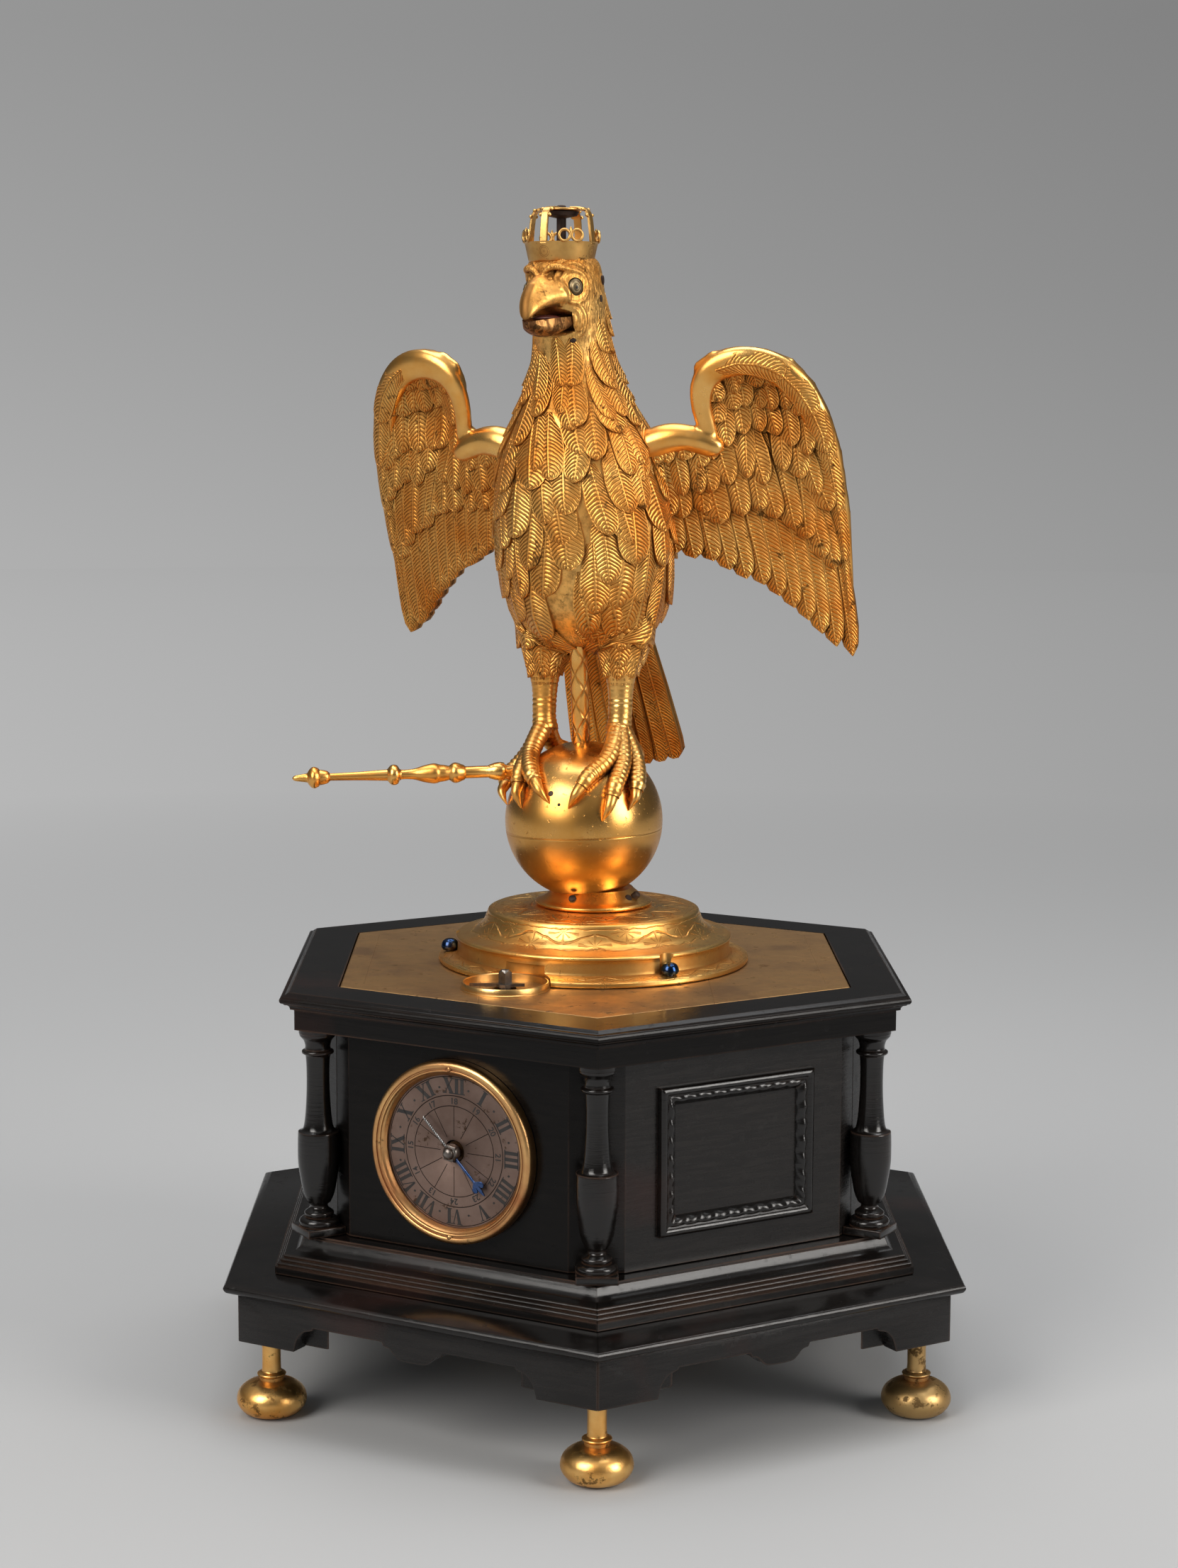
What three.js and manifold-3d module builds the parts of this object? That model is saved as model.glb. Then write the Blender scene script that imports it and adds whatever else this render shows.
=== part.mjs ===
// Automaton clock: a gilt eagle on an orb above a hexagonal ebony case with a dial on one side.
// Millimetres, +Z up. The origin is on the table under the middle of the hexagon.
// One corner of the hexagon points along -Y. The dial faces 30 degrees to the left of it.
import * as THREE from 'three';
import { mergeVertices } from 'three/addons/utils/BufferGeometryUtils.js';
import Module from 'manifold-3d';

const wasm = await Module();
wasm.setup();

// Driving dimensions, shared
const CLEAR = 0.3;
const SLIVER = 0.03;
const SIDES = 6;
const SIDE_STEP = 360 / SIDES;
const DIAL_TURN = -30;
const COS30 = Math.cos(Math.PI / 6);
const TAN30 = Math.tan(Math.PI / 6);

// Bun feet
const FOOT_INSET = 10.5;
const FOOT_BALL_RADIUS = 10;
const FOOT_BALL_HEIGHT = 10;
const FOOT_RING_RADIUS = 4.3;
const FOOT_STEM_RADIUS = 2.7;
const FOOT_FLARE_RADIUS = 4;
const FOOT_SCREW_RADIUS = 1.8;
const FOOT_SCREW_LENGTH = 7;

// Plinth
const FOOT_HEIGHT = 23;
const APRON_HEIGHT = 13.8;
const APRON_CORNER = 117.5;
const APRON_THICKNESS = 6;
const APRON_RAIL = 6;
const APRON_BRACKET = 19;
const APRON_DROP_WIDTH = 18;
const APRON_DROP_DEPTH = 4.4;
const BLOCK_DEPTH = 12;
const BOARD_THICKNESS = 4.1;
const BOARD_CORNER = 118.7;
const BOARD_LIP = 3.2;

// Base moulding under the case
const BASE_CORNER = 105.4;
const BASE_FASCIA = 2.2;
const REED_COUNT = 3;
const REED_HEIGHT = 1;
const REED_STEP = 0.9;
const COVE_HEIGHT = 4.2;
const COVE_DEPTH = 5.4;
const BASE_FILLET = 0.5;

// Case walls
const WALL_APOTHEM = 78;
const WALL_THICKNESS = 6;
const WALL_HEIGHT = 59.8;
const CORNER_CUT = 85.6;
const PANEL_WIDTH = 51;
const PANEL_HEIGHT = 42;
const PANEL_BAR = 5.4;
const PANEL_PROUD = 1.8;
const PANEL_LIFT = 29.7;

// Columns
const COLUMN_BELLY = 5.6;
const COLUMN_SHAFT = 2.5;
const COLUMN_CAP = 4.8;
const COLUMN_BLOCK = 11.8;
const COLUMN_BLOCK_HEIGHT = 2.3;

// Cornice and the brass top plate
const FRIEZE_CORNER = 98.8;
const FRIEZE_HEIGHT = 5.9;
const CORNICE_HEIGHT = 5.2;
const CORNICE_TOP_CORNER = 100;
const CORNICE_LIP = 3.5;
const PLATE_CORNER = 84.4;
const PLATE_THICKNESS = 1.5;

// Small ring dial on the top plate
const RING_DISTANCE = 51.5;
const RING_RADIUS = 12.8;
const RING_WALL = 0.95;
const RING_HEIGHT = 2;
const RING_HOLE = 3.3;
const RING_SIDES = 16;
const ARBOR_SQUARE = 2.7;
const ARBOR_HEIGHT = 4.2;
const POINTER_LENGTH = 10.2;
const POINTER_TAIL = 5.6;
const POINTER_THICKNESS = 0.8;
const POINTER_HALF_WIDTH = 1;

// Stepped disc, collar and orb
const DISC_RADIUS = 46.3;
const DISC_BAND_RADIUS = 40.6;
const DISC_DRUM_RADIUS = 30.9;
const DISC_HEIGHT = 16.4;
const SCREW_COUNT = 3;
const SCREW_INSET = 3.3;
const SCREW_SINK = 2.3;
const SCREW_HEAD_RADIUS = 2.65;
const SCREW_HEAD_HEIGHT = 3.2;
const SCREW_SHANK_RADIUS = 1.2;
const SCREW_SLOT = 0.7;
const COLLAR_RADIUS = 17.2;
const COLLAR_NECK = 11.4;
const COLLAR_HEIGHT = 4.9;
const COLLAR_BORE = 7.9;
const ORB_RADIUS = 23.5;
const ORB_DROP = 0.25;
const ORB_OFFSET = -3;
const TUBE_RADIUS = 2.65;
const TUBE_BORE = 1.7;
const TUBE_SINK = 8;
const TUBE_TOP = 57;
const ROD_RADIUS = 1.2;
const ROD_TOP = 100;
const ROD_TRAVEL = 4.5;

// Dial
const DIAL_LIFT = 29.8;
const DIAL_RADIUS = 24.4;
const DIAL_HOLE = 3.2;
const DIAL_THICKNESS = 1;
const BEZEL_RADIUS = 26.1;
const BEZEL_OPENING = 21.8;
const BEZEL_DEPTH = 3.8;
const BEZEL_PIN = 0.75;
const HAND_LENGTH = 15;
const HAND_TAIL = 13;
const HAND_HUB = 2.5;
const HAND_THICKNESS = 0.8;
const HAND_CLOCK_ANGLE = 135;

// Movement between its two plates
const MOVEMENT_CORNER = 70;
const MOVEMENT_PLATE = 1.6;
const LOWER_PLATE_LIFT = 4.5;
const UPPER_PLATE_DROP = 3.8;
const PILLAR_RADIUS = 2.4;
const PILLAR_CIRCLE = 62;
const ARBOR_RADIUS = 1.4;
const GEAR_MODULE = 1;
const GREAT_TEETH = 36;
const SECOND_TEETH = 24;
const PINION_LEAVES = 6;
const DIAL_WHEEL_TEETH = 18;
const ESCAPE_TEETH = 11;
const GEAR_PLAY = 0.15;
const WHEEL_THICKNESS = 2.2;
const PINION_OVERHANG = 0.8;
const GREAT_WHEEL_LIFT = 2;
const SECOND_WHEEL_RISE = 4;
const FUSEE_BEARING = 105;
const ESCAPE_BEARING = 20;
const VERGE_BEARING = 52;
const BARREL_X = -26;
const BARREL_Y = 16;
const BARREL_LIFT = 8;
const BARREL_RADIUS = 17;
const BARREL_HEIGHT = 26;
const FUSEE_BASE = 13;
const FUSEE_TOP = 7;
const FUSEE_TURNS = 4;
const FUSEE_HEIGHT = 24;
const FUSEE_BOSS = 5;
const BALANCE_RADIUS = 9.6;
const BALANCE_RIM = 1.6;
const BALANCE_ALONG = 20;
const VERGE_RADIUS = 0.8;
const PALLET_ALONG = 7;
const POST_INNER = -9.5;
const POST_OUTER = 14;
const ESCAPE_RING = 7.4;
const ESCAPE_RISE = 5.5;
const DIAL_WHEEL_FACE = 60;
const FACE_TOOTH = 2.4;
const FACE_PINION = 5;
const BELL_RADIUS = 36;
const BELL_HEIGHT = 10;
const BELL_WALL = 1.6;
const HAMMER_ARM = 17;
const HAMMER_POST = 1.5;
const HAMMER_OUTSIDE = 6;

// Eagle, in its own frame: origin at the middle of the orb, -Y forward, +X to the bird's left
const EAGLE_TURN = -25;
const EAGLE_LEAN = -2;
const HEAD_TURN = -7;
const HEAD_TILT = 0.06;
const NECK_Z = 144;
const SHOULDER_X = 17.5;
const SHOULDER_Y = 6.6;
const SHOULDER_Z = 112;
const KNUCKLE_RADIUS = 5;
const KNUCKLE_WIDTH = 5;
const WING_SWEEP = 15;
const WING_PITCH = 15.5;
const WING_Y = 1.1;
const WING_Z = 110.1;
const WING_PLATE = 2;
const WING_RAISE = 12;
const WING_DROP = 3;
const LEG_SPREAD = 12.4;
const LEG_RADIUS = 3.1;
const TOE_RADIUS = 2;
const EYE_RADIUS = 3;
const EYE_X = 6.95;
const EYE_FORWARD = 6.4;
const EYE_Z = 156.4;
const JAW_FORWARD = 5;
const JAW_Z = 146.5;
const JAW_WIDTH = 14;
const JAW_PIN = 0.9;
const MOUTH_HEIGHT = 9.2;
const MOUTH_DEPTH = 30;
const MOUTH_BACK = 1.6;
const TAIL_Z = 63;
const TAIL_Y = 17.5;
const TAIL_LENGTH = 54;
const TAIL_SLOPE = 22.4;
const TAIL_FEATHERS = 7;
const TAIL_WIDTH = 36.8;
const CROWN_X = -10.1;
const CROWN_Y = 0.6;
const CROWN_SINK = 3.6;
const CROWN_RADIUS = 9.25;
const CROWN_FLARE = 1.6;
const CROWN_BAND = 5.7;
const CROWN_WALL = 0.8;
const CROWN_HEIGHT = 15.3;
const CROWN_ARCHES = 4;
const CROWN_TURN = -30;
const CROWN_STRAP = 2.2;
const CROWN_SCROLL = 2.05;
const CROWN_DISC = 6.2;
const CROWN_ROD = 1.15;
const CROWN_ROD_LENGTH = 17.1;
const SCEPTRE_BUTT = [-18.6, -3.7, 15.2];
const SCEPTRE_TIP = [-86, -10, 13.5];
const SCEPTRE_RADIUS = 1.75;

// Body of the eagle up its height: [z, half width, half depth, middle behind the axis]
const BODY_SIDES = 12;
const BODY_RINGS = [
  [47, 8, 8, 6], [49, 14, 12, 7], [52, 18, 15, 8], [59, 22, 20, 8.5], [67, 24, 22, 8], [76, 25.8, 23, 7.5],
  [85, 26.3, 23, 7], [95, 25.6, 22.5, 6], [103, 24.3, 21, 5.5], [110, 22.5, 19, 5], [117, 19.3, 17, 4.5],
  [126, 14.9, 14.3, 4], [133, 12.2, 12.3, 3.2], [139, 11, 11.3, 2.8], [149, 10.9, 12.2, 1.2],
  [156, 11, 12.8, 0.8], [161, 10.7, 12, 1], [163.8, 10.2, 10.6, 1], [165.5, 8.4, 8.4, 1], [167.5, 4, 4, 1],
];

// Beaks: [forward, lowest, highest, half width] from the root to the hook
const UPPER_BEAK = [
  [3, 150.8, 159, 7.4], [9, 149.8, 160.3, 7.6], [13, 149.4, 159.8, 6.8], [18, 149.2, 157.9, 5.2],
  [22, 148.6, 155.2, 3.4], [24.8, 147.6, 152, 1.7], [25.8, 146.9, 149.4, 0.6],
];
const LOWER_BEAK = [
  [3.2, 144.2, 148.5, 6.6], [9, 142.9, 148.3, 7], [14.5, 142.7, 148, 5.8], [20, 144.2, 147.5, 3.8],
  [24.3, 146.2, 147.2, 0.9],
];

// Leg from the thigh down to the foot: [behind the axis, height, radius]
const LEG_STOPS = [[6, 62, 9.5], [4, 51, 7.2], [2.5, 45, 4.6], [2, 39, 3.35], [1, 31, LEG_RADIUS], [0, 26.8, 3.6]];

// Toes over the orb, each from the foot to the claw as [azimuth, elevation]
const LEFT_TOES = [
  [[55, 52], [30, 37], [16.4, 20.6]], [[68, 48], [50, 30], [40, 11]], [[84, 46], [70, 30], [61.7, 16.7]],
  [[120, 56], [143, 45], [152, 33]],
];
const RIGHT_TOES = [
  [[-55, 54], [-25, 40], [-5.4, 23.6]], [[-58, 54], [-38, 38], [-29.8, 19.4]], [[-84, 50], [-74, 32], [-60, 18]],
  [[-120, 56], [-143, 45], [-152, 33]],
];

// Wing drawn flat in the X-Z plane, outwards along X, heights from the wing's own line
const WING_EDGE = [
  [18, 1], [22, 4.5], [28.5, 6], [36, 5.6], [41, 7], [38.5, 14], [36.5, 19], [37, 25], [42, 28.5], [50, 30],
  [58, 29], [66, 25.5], [72, 18], [76, 9], [79, -3], [80.7, -19], [81, -38],
];
const WING_TIPS = [
  [79.5, -59.5], [74, -56], [67, -49], [60, -43], [54, -38.5], [47, -36], [41, -32], [35, -31], [29, -29],
];
const QUILL_FIRST = [72, 5];
const QUILL_LAST = [25, -5];
const QUILL_COVERED = 0.8;
const FLIGHT_HALF_WIDTH = 3.9;
const COVERT_HALF_WIDTH = 6.2;

// Rolls over the top of the wing: [outwards, height, radius]
const SHOULDER_ROLL = [[20, -1, 4.5], [28.5, 2.5, 4.2], [36, 2.5, 3.4], [41, 3.5, 2.6]];
const WRIST_ROLL = [
  [40, 10, 2.5], [40, 20, 3.2], [45, 25.5, 3.4], [54, 26.8, 3.3], [63, 23.5, 3.2], [70, 16, 3], [74.5, 5, 2.7],
  [77.2, -8, 2.3], [78.5, -25, 1.9], [79, -42, 1.2],
];

// Strap of the crown: [radius, height] from the band up to the flat ring
const CROWN_STRAP_LINE = [[10.3, 5.2], [9.3, 9.5], [8.3, 13.4], [6.4, 15], [3.5, 15.2]];

// Sceptre's radius along its length, as shares of its thickness
const SCEPTRE_SHARES = [
  0.5, 0.5, 0.55, 1, 1.35, 0.9, 0.9, 1, 1, 1, 1, 0.95, 0.95, 0.9, 1.25, 0.85, 0.8, 0.8, 1.5, 0.75, 1.25, 1.65,
  1.3, 0.5,
];
const SCEPTRE_GRASP = 1.35;

// Places and levels worked out from the pieces, from the table upwards
const FOOT_CIRCLE = APRON_CORNER - FOOT_INSET;
const APRON_TOP = FOOT_HEIGHT + APRON_HEIGHT;
const BOARD_BOTTOM = APRON_TOP + CLEAR;
const BOARD_TOP = APRON_TOP + BOARD_THICKNESS;
const BASE_BOTTOM = BOARD_TOP + CLEAR;
const REED_BOTTOM = BASE_BOTTOM + BASE_FASCIA;
const COVE_BOTTOM = REED_BOTTOM + REED_COUNT * REED_HEIGHT;
const BASE_TOP = COVE_BOTTOM + COVE_HEIGHT + BASE_FILLET;
const WALL_BOTTOM = BASE_TOP + CLEAR;
const WALL_TOP = WALL_BOTTOM + WALL_HEIGHT;
const FRIEZE_BOTTOM = WALL_TOP + CLEAR;
const FRIEZE_TOP = FRIEZE_BOTTOM + FRIEZE_HEIGHT;
const CORNICE_TOP = FRIEZE_TOP + CORNICE_HEIGHT;
const PLATE_TOP = CORNICE_TOP + 0.1;
const PLATE_BOTTOM = PLATE_TOP - PLATE_THICKNESS;
const DISC_BOTTOM = PLATE_TOP + CLEAR;
const DISC_TOP = DISC_BOTTOM + DISC_HEIGHT;
const SCREW_CIRCLE = DISC_RADIUS - SCREW_INSET;
const SCREW_SEAT = DISC_BOTTOM + SCREW_SINK;
const COLLAR_BOTTOM = DISC_TOP + CLEAR;
const COLLAR_TOP = COLLAR_BOTTOM + COLLAR_HEIGHT;
const ORB_Z = COLLAR_TOP - ORB_DROP + Math.sqrt(ORB_RADIUS ** 2 - COLLAR_NECK ** 2);
const DIAL_Z = WALL_BOTTOM + DIAL_LIFT;
const DIAL_BACK = WALL_APOTHEM + CLEAR;
const DIAL_FRONT = DIAL_BACK + DIAL_THICKNESS;
const COLUMN_CIRCLE = CORNER_CUT + CLEAR + COLUMN_BELLY;
const LOWER_PLATE_BOTTOM = BASE_TOP + LOWER_PLATE_LIFT;
const LOWER_PLATE_TOP = LOWER_PLATE_BOTTOM + MOVEMENT_PLATE;
const UPPER_PLATE_TOP = FRIEZE_BOTTOM - UPPER_PLATE_DROP;
const UPPER_PLATE_BOTTOM = UPPER_PLATE_TOP - MOVEMENT_PLATE;
const CROWN_Z = BODY_RINGS[BODY_RINGS.length - 1][0] - CROWN_SINK;
const CROWN_ROD_TOP = CROWN_Z + CROWN_ROD_LENGTH;

// Movement: where each arbor stands between the plates, and the levels of its wheels
const DIAL_AIM = DIAL_TURN - 90;
const DIAL_WHEEL_RING = (GEAR_MODULE * DIAL_WHEEL_TEETH) / 2;
const PINION_PITCH = (GEAR_MODULE * PINION_LEAVES) / 2;
const secondAt = polar(DIAL_WHEEL_FACE - PINION_PITCH - GEAR_PLAY, DIAL_AIM);
const fuseeStep = polar(centreDistance(GREAT_TEETH, PINION_LEAVES), FUSEE_BEARING);
const fuseeAt = [secondAt[0] + fuseeStep[0], secondAt[1] + fuseeStep[1]];
const escapeStep = polar(centreDistance(SECOND_TEETH, PINION_LEAVES), ESCAPE_BEARING);
const escapeAt = [secondAt[0] + escapeStep[0], secondAt[1] + escapeStep[1]];
const ARBOR_BOTTOM = LOWER_PLATE_TOP + CLEAR;
const ARBOR_TOP = UPPER_PLATE_BOTTOM - CLEAR;
const GREAT_WHEEL_Z = ARBOR_BOTTOM + GREAT_WHEEL_LIFT;
const SECOND_WHEEL_Z = DIAL_Z + DIAL_WHEEL_RING + SECOND_WHEEL_RISE;
const VERGE_Z = LOWER_PLATE_TOP + BALANCE_RADIUS + 1;
const CROWN_WHEEL_Z = VERGE_Z + ESCAPE_RISE;

// Finishes
function finish(color, metalness, roughness) {
  return new THREE.MeshStandardMaterial({ color, metalness, roughness });
}
const gilt = finish(0xd9a441, 1, 0.32);
const ebony = finish(0x17130f, 0, 0.38);
const wornBrass = finish(0xa67c3c, 1, 0.45);
const silvered = finish(0x9c948b, 0.9, 0.5);
const bluedSteel = finish(0x1d2c4a, 1, 0.3);
const steel = finish(0x6c6a67, 1, 0.4);
const darkIron = finish(0x33291f, 0.8, 0.6);
const bellMetal = finish(0xb08b4f, 1, 0.35);

// Solids: every shape is made by a three.js geometry and handed to the boolean library
function toSolid(geometry) {
  const bare = geometry.clone();
  bare.deleteAttribute('normal');
  bare.deleteAttribute('uv');
  const merged = mergeVertices(bare, 1e-4);
  const corners = merged.index.array;
  const kept = [];
  for (let i = 0; i < corners.length; i += 3) {
    const [a, b, c] = [corners[i], corners[i + 1], corners[i + 2]];
    if (a !== b && b !== c && c !== a) kept.push(a, b, c);
  }
  return new wasm.Manifold(new wasm.Mesh({
    numProp: 3,
    vertProperties: new Float32Array(merged.attributes.position.array),
    triVerts: new Uint32Array(kept),
  }));
}

function toGeometry(solid) {
  const mesh = solid.getMesh();
  const geometry = new THREE.BufferGeometry();
  geometry.setAttribute('position', new THREE.BufferAttribute(mesh.vertProperties, 3));
  geometry.setIndex(new THREE.BufferAttribute(mesh.triVerts, 1));
  geometry.computeVertexNormals();
  return geometry;
}

function joined(solids) {
  return solids.reduce((sum, next) => sum.add(next));
}

const clock = new THREE.Group();
const leaning = new THREE.Group();
leaning.position.set(ORB_OFFSET, 0, ORB_Z);
leaning.rotation.y = THREE.MathUtils.degToRad(EAGLE_LEAN);
const eagle = new THREE.Group();
eagle.name = 'eagle';
eagle.rotation.z = THREE.MathUtils.degToRad(EAGLE_TURN);
leaning.add(eagle);
clock.add(leaning);

function place(name, solid, material, group = clock) {
  const mesh = new THREE.Mesh(toGeometry(solid.asOriginal().simplify(SLIVER)), material);
  mesh.name = name;
  group.add(mesh);
}

// A profile of [radius, height] pairs, bottom to top outside, turned about Z.
// Six segments give a mitred hexagonal moulding with a corner on -Y.
function turned(profile, segments) {
  const points = profile.map(([radius, height]) => new THREE.Vector2(radius, height));
  return toSolid(new THREE.LatheGeometry(points, segments).rotateX(Math.PI / 2));
}

function drum(radius, bottom, top, segments = 12) {
  return turned([[0, bottom], [radius, bottom], [radius, top], [0, top]], segments);
}

function block(width, depth, height, x, y, z) {
  return toSolid(new THREE.BoxGeometry(width, depth, height)).translate([x, y, z]);
}

function prism(points, bottom, top) {
  const shape = new THREE.Shape(points.map(([x, y]) => new THREE.Vector2(x, y)));
  const geometry = new THREE.ExtrudeGeometry(shape, { depth: top - bottom, bevelEnabled: false });
  return toSolid(geometry).translate([0, 0, bottom]);
}

// A closed skin over rings of equal point count, with a flat end at each side
function loft(rings) {
  const count = rings[0].length;
  const positions = rings.flat(2);
  const index = [];
  for (let ring = 0; ring < rings.length - 1; ring += 1) {
    for (let i = 0; i < count; i += 1) {
      const next = (i + 1) % count;
      const a = ring * count + i;
      const b = ring * count + next;
      const c = (ring + 1) * count + next;
      const d = (ring + 1) * count + i;
      index.push(a, b, c, a, c, d);
    }
  }
  const last = (rings.length - 1) * count;
  for (let i = 1; i < count - 1; i += 1) {
    index.push(0, i + 1, i);
    index.push(last, last + i, last + i + 1);
  }
  const geometry = new THREE.BufferGeometry();
  geometry.setAttribute('position', new THREE.BufferAttribute(new Float32Array(positions), 3));
  geometry.setIndex(index);
  return toSolid(geometry);
}

function ellipseRing([x, y, z], halfWidth, halfDepth, count) {
  const ring = [];
  for (let i = 0; i < count; i += 1) {
    const angle = (2 * Math.PI * i) / count;
    ring.push([x + halfWidth * Math.cos(angle), y + halfDepth * Math.sin(angle), z]);
  }
  return ring;
}

// A round limb of changing radius along a smooth path
function limb(path, radii, sides, steps) {
  const curve = new THREE.CatmullRomCurve3(path.map((point) => new THREE.Vector3(...point)));
  const frames = curve.computeFrenetFrames(steps, false);
  const rings = [];
  for (let step = 0; step <= steps; step += 1) {
    const along = step / steps;
    const stop = along * (radii.length - 1);
    const low = Math.min(Math.floor(stop), radii.length - 2);
    const radius = THREE.MathUtils.lerp(radii[low], radii[low + 1], stop - low);
    const centre = curve.getPoint(along);
    const ring = [];
    for (let i = 0; i < sides; i += 1) {
      const angle = (2 * Math.PI * i) / sides;
      const point = centre.clone()
        .addScaledVector(frames.normals[step], radius * Math.cos(angle))
        .addScaledVector(frames.binormals[step], radius * Math.sin(angle));
      ring.push(point.toArray());
    }
    rings.push(ring);
  }
  return loft(rings);
}

// Everything inside one sixth of the hexagon, set back from its neighbours
function sector(bottom, top) {
  const reach = 200;
  const tip = -CLEAR;
  return prism([[0, tip], [-reach * TAN30, -reach + tip], [reach * TAN30, -reach + tip]], bottom, top);
}

function sideTurn(side) {
  return DIAL_TURN + side * SIDE_STEP;
}

// Feet: turned bun, ring and flared stem, with a screw into the corner block
function makeFeet() {
  const ball = FOOT_BALL_HEIGHT;
  const top = FOOT_HEIGHT - CLEAR;
  const profile = [
    [0, 0], [FOOT_BALL_RADIUS * 0.5, 0], [FOOT_BALL_RADIUS * 0.88, ball * 0.16],
    [FOOT_BALL_RADIUS, ball * 0.48], [FOOT_BALL_RADIUS * 0.8, ball * 0.86], [FOOT_RING_RADIUS, ball + 0.6],
    [FOOT_STEM_RADIUS, ball + 1.8], [FOOT_STEM_RADIUS, top - 2.6],
    [FOOT_FLARE_RADIUS, top], [FOOT_SCREW_RADIUS, top],
    [FOOT_SCREW_RADIUS, top + FOOT_SCREW_LENGTH], [0, top + FOOT_SCREW_LENGTH],
  ];
  for (let corner = 0; corner < SIDES; corner += 1) {
    const foot = turned(profile, 8).translate([0, -FOOT_CIRCLE, 0]).rotate([0, 0, corner * SIDE_STEP]);
    place(`foot_${corner + 1}`, foot, gilt);
  }
}

// Aprons: mitred boards with a bracket at each corner, two arches and a drop in the middle
function makeAprons() {
  const apothem = APRON_CORNER * COS30;
  const half = APRON_CORNER / 2;
  const arch = APRON_TOP - APRON_RAIL;
  const drop = APRON_DROP_WIDTH / 2;
  const outline = new THREE.Shape();
  outline.moveTo(-half, APRON_TOP);
  outline.lineTo(-half, FOOT_HEIGHT);
  outline.lineTo(APRON_BRACKET - half, FOOT_HEIGHT);
  outline.quadraticCurveTo(APRON_BRACKET - half + 1, arch - 3, APRON_BRACKET - half + 6.5, arch);
  outline.lineTo(-drop - 1, arch);
  outline.quadraticCurveTo(-drop + 3, arch, -drop + 4.5, arch - APRON_DROP_DEPTH);
  outline.lineTo(drop - 4.5, arch - APRON_DROP_DEPTH);
  outline.quadraticCurveTo(drop - 3, arch, drop + 1, arch);
  outline.lineTo(half - APRON_BRACKET - 6.5, arch);
  outline.quadraticCurveTo(half - APRON_BRACKET - 1, arch - 3, half - APRON_BRACKET, FOOT_HEIGHT);
  outline.lineTo(half, FOOT_HEIGHT);
  outline.lineTo(half, APRON_TOP);
  const settings = { depth: APRON_THICKNESS, bevelEnabled: false, curveSegments: 3 };
  const board = toSolid(new THREE.ExtrudeGeometry(outline, settings).rotateX(Math.PI / 2))
    .translate([0, -apothem + APRON_THICKNESS, 0])
    .intersect(sector(FOOT_HEIGHT - 1, APRON_TOP + 1));
  for (let side = 0; side < SIDES; side += 1) {
    place(`apron_${side + 1}`, board.rotate([0, 0, sideTurn(side)]), ebony);
  }
}

// Plinth board with a rounded lip, and the six glued corner blocks that take the feet
function makePlinthBoard() {
  const lip = BOARD_CORNER + BOARD_LIP;
  const rise = BOARD_THICKNESS - CLEAR;
  let board = turned([
    [0, BOARD_BOTTOM], [BOARD_CORNER + 0.6, BOARD_BOTTOM], [lip - 0.7, BOARD_BOTTOM + rise * 0.3],
    [lip, BOARD_BOTTOM + rise * 0.6], [lip - 0.9, BOARD_BOTTOM + rise * 0.82],
    [BOARD_CORNER, BOARD_TOP], [0, BOARD_TOP],
  ], SIDES);
  const outer = APRON_CORNER - (APRON_THICKNESS + CLEAR) / COS30;
  const slope = Math.tan(Math.PI / 3);
  const wing = BLOCK_DEPTH * slope;
  const outline = [[0, -outer], [wing, -outer + BLOCK_DEPTH], [-wing, -outer + BLOCK_DEPTH]];
  for (let corner = 0; corner < SIDES; corner += 1) {
    const bore = drum(FOOT_SCREW_RADIUS + CLEAR, 0, FOOT_HEIGHT + FOOT_SCREW_LENGTH + CLEAR, 8)
      .translate([0, -FOOT_CIRCLE, 0]);
    const glued = prism(outline, FOOT_HEIGHT, BOARD_BOTTOM + 1).subtract(bore);
    board = board.add(glued.rotate([0, 0, corner * SIDE_STEP]));
  }
  place('plinth_board', board, ebony);
}

// Base moulding: fascia, reeds and a cove up to the foot of the walls
function makeBaseMoulding() {
  const profile = [[0, BASE_BOTTOM], [BASE_CORNER, BASE_BOTTOM], [BASE_CORNER, REED_BOTTOM]];
  let corner = BASE_CORNER - 0.6;
  for (let reed = 0; reed < REED_COUNT; reed += 1) {
    const bottom = REED_BOTTOM + reed * REED_HEIGHT;
    profile.push([corner - 0.5, bottom], [corner, bottom + REED_HEIGHT * 0.45]);
    corner -= REED_STEP;
  }
  const coveCorner = corner;
  const steps = 3;
  for (let step = 0; step <= steps; step += 1) {
    const angle = (Math.PI / 2) * (step / steps);
    profile.push([coveCorner - COVE_DEPTH * Math.sin(angle),
      COVE_BOTTOM + COVE_HEIGHT * (1 - Math.cos(angle))]);
  }
  profile.push([coveCorner - COVE_DEPTH - 0.8, BASE_TOP], [0, BASE_TOP]);
  place('base_moulding', turned(profile, SIDES), ebony);
}

// Walls: mitred panels whose meeting corners are cut back flat behind the columns
function wallBoard() {
  const inner = WALL_APOTHEM - WALL_THICKNESS;
  const cutX = CORNER_CUT / 2;
  const cutY = CORNER_CUT * COS30;
  const edgeX = (CORNER_CUT - WALL_APOTHEM * COS30) * 2;
  const outline = [
    [-edgeX, -WALL_APOTHEM], [edgeX, -WALL_APOTHEM], [cutX, -cutY], [inner * TAN30, -inner],
    [-inner * TAN30, -inner], [-cutX, -cutY],
  ];
  return prism(outline, WALL_BOTTOM, WALL_TOP).intersect(sector(WALL_BOTTOM - 1, WALL_TOP + 1));
}

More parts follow.
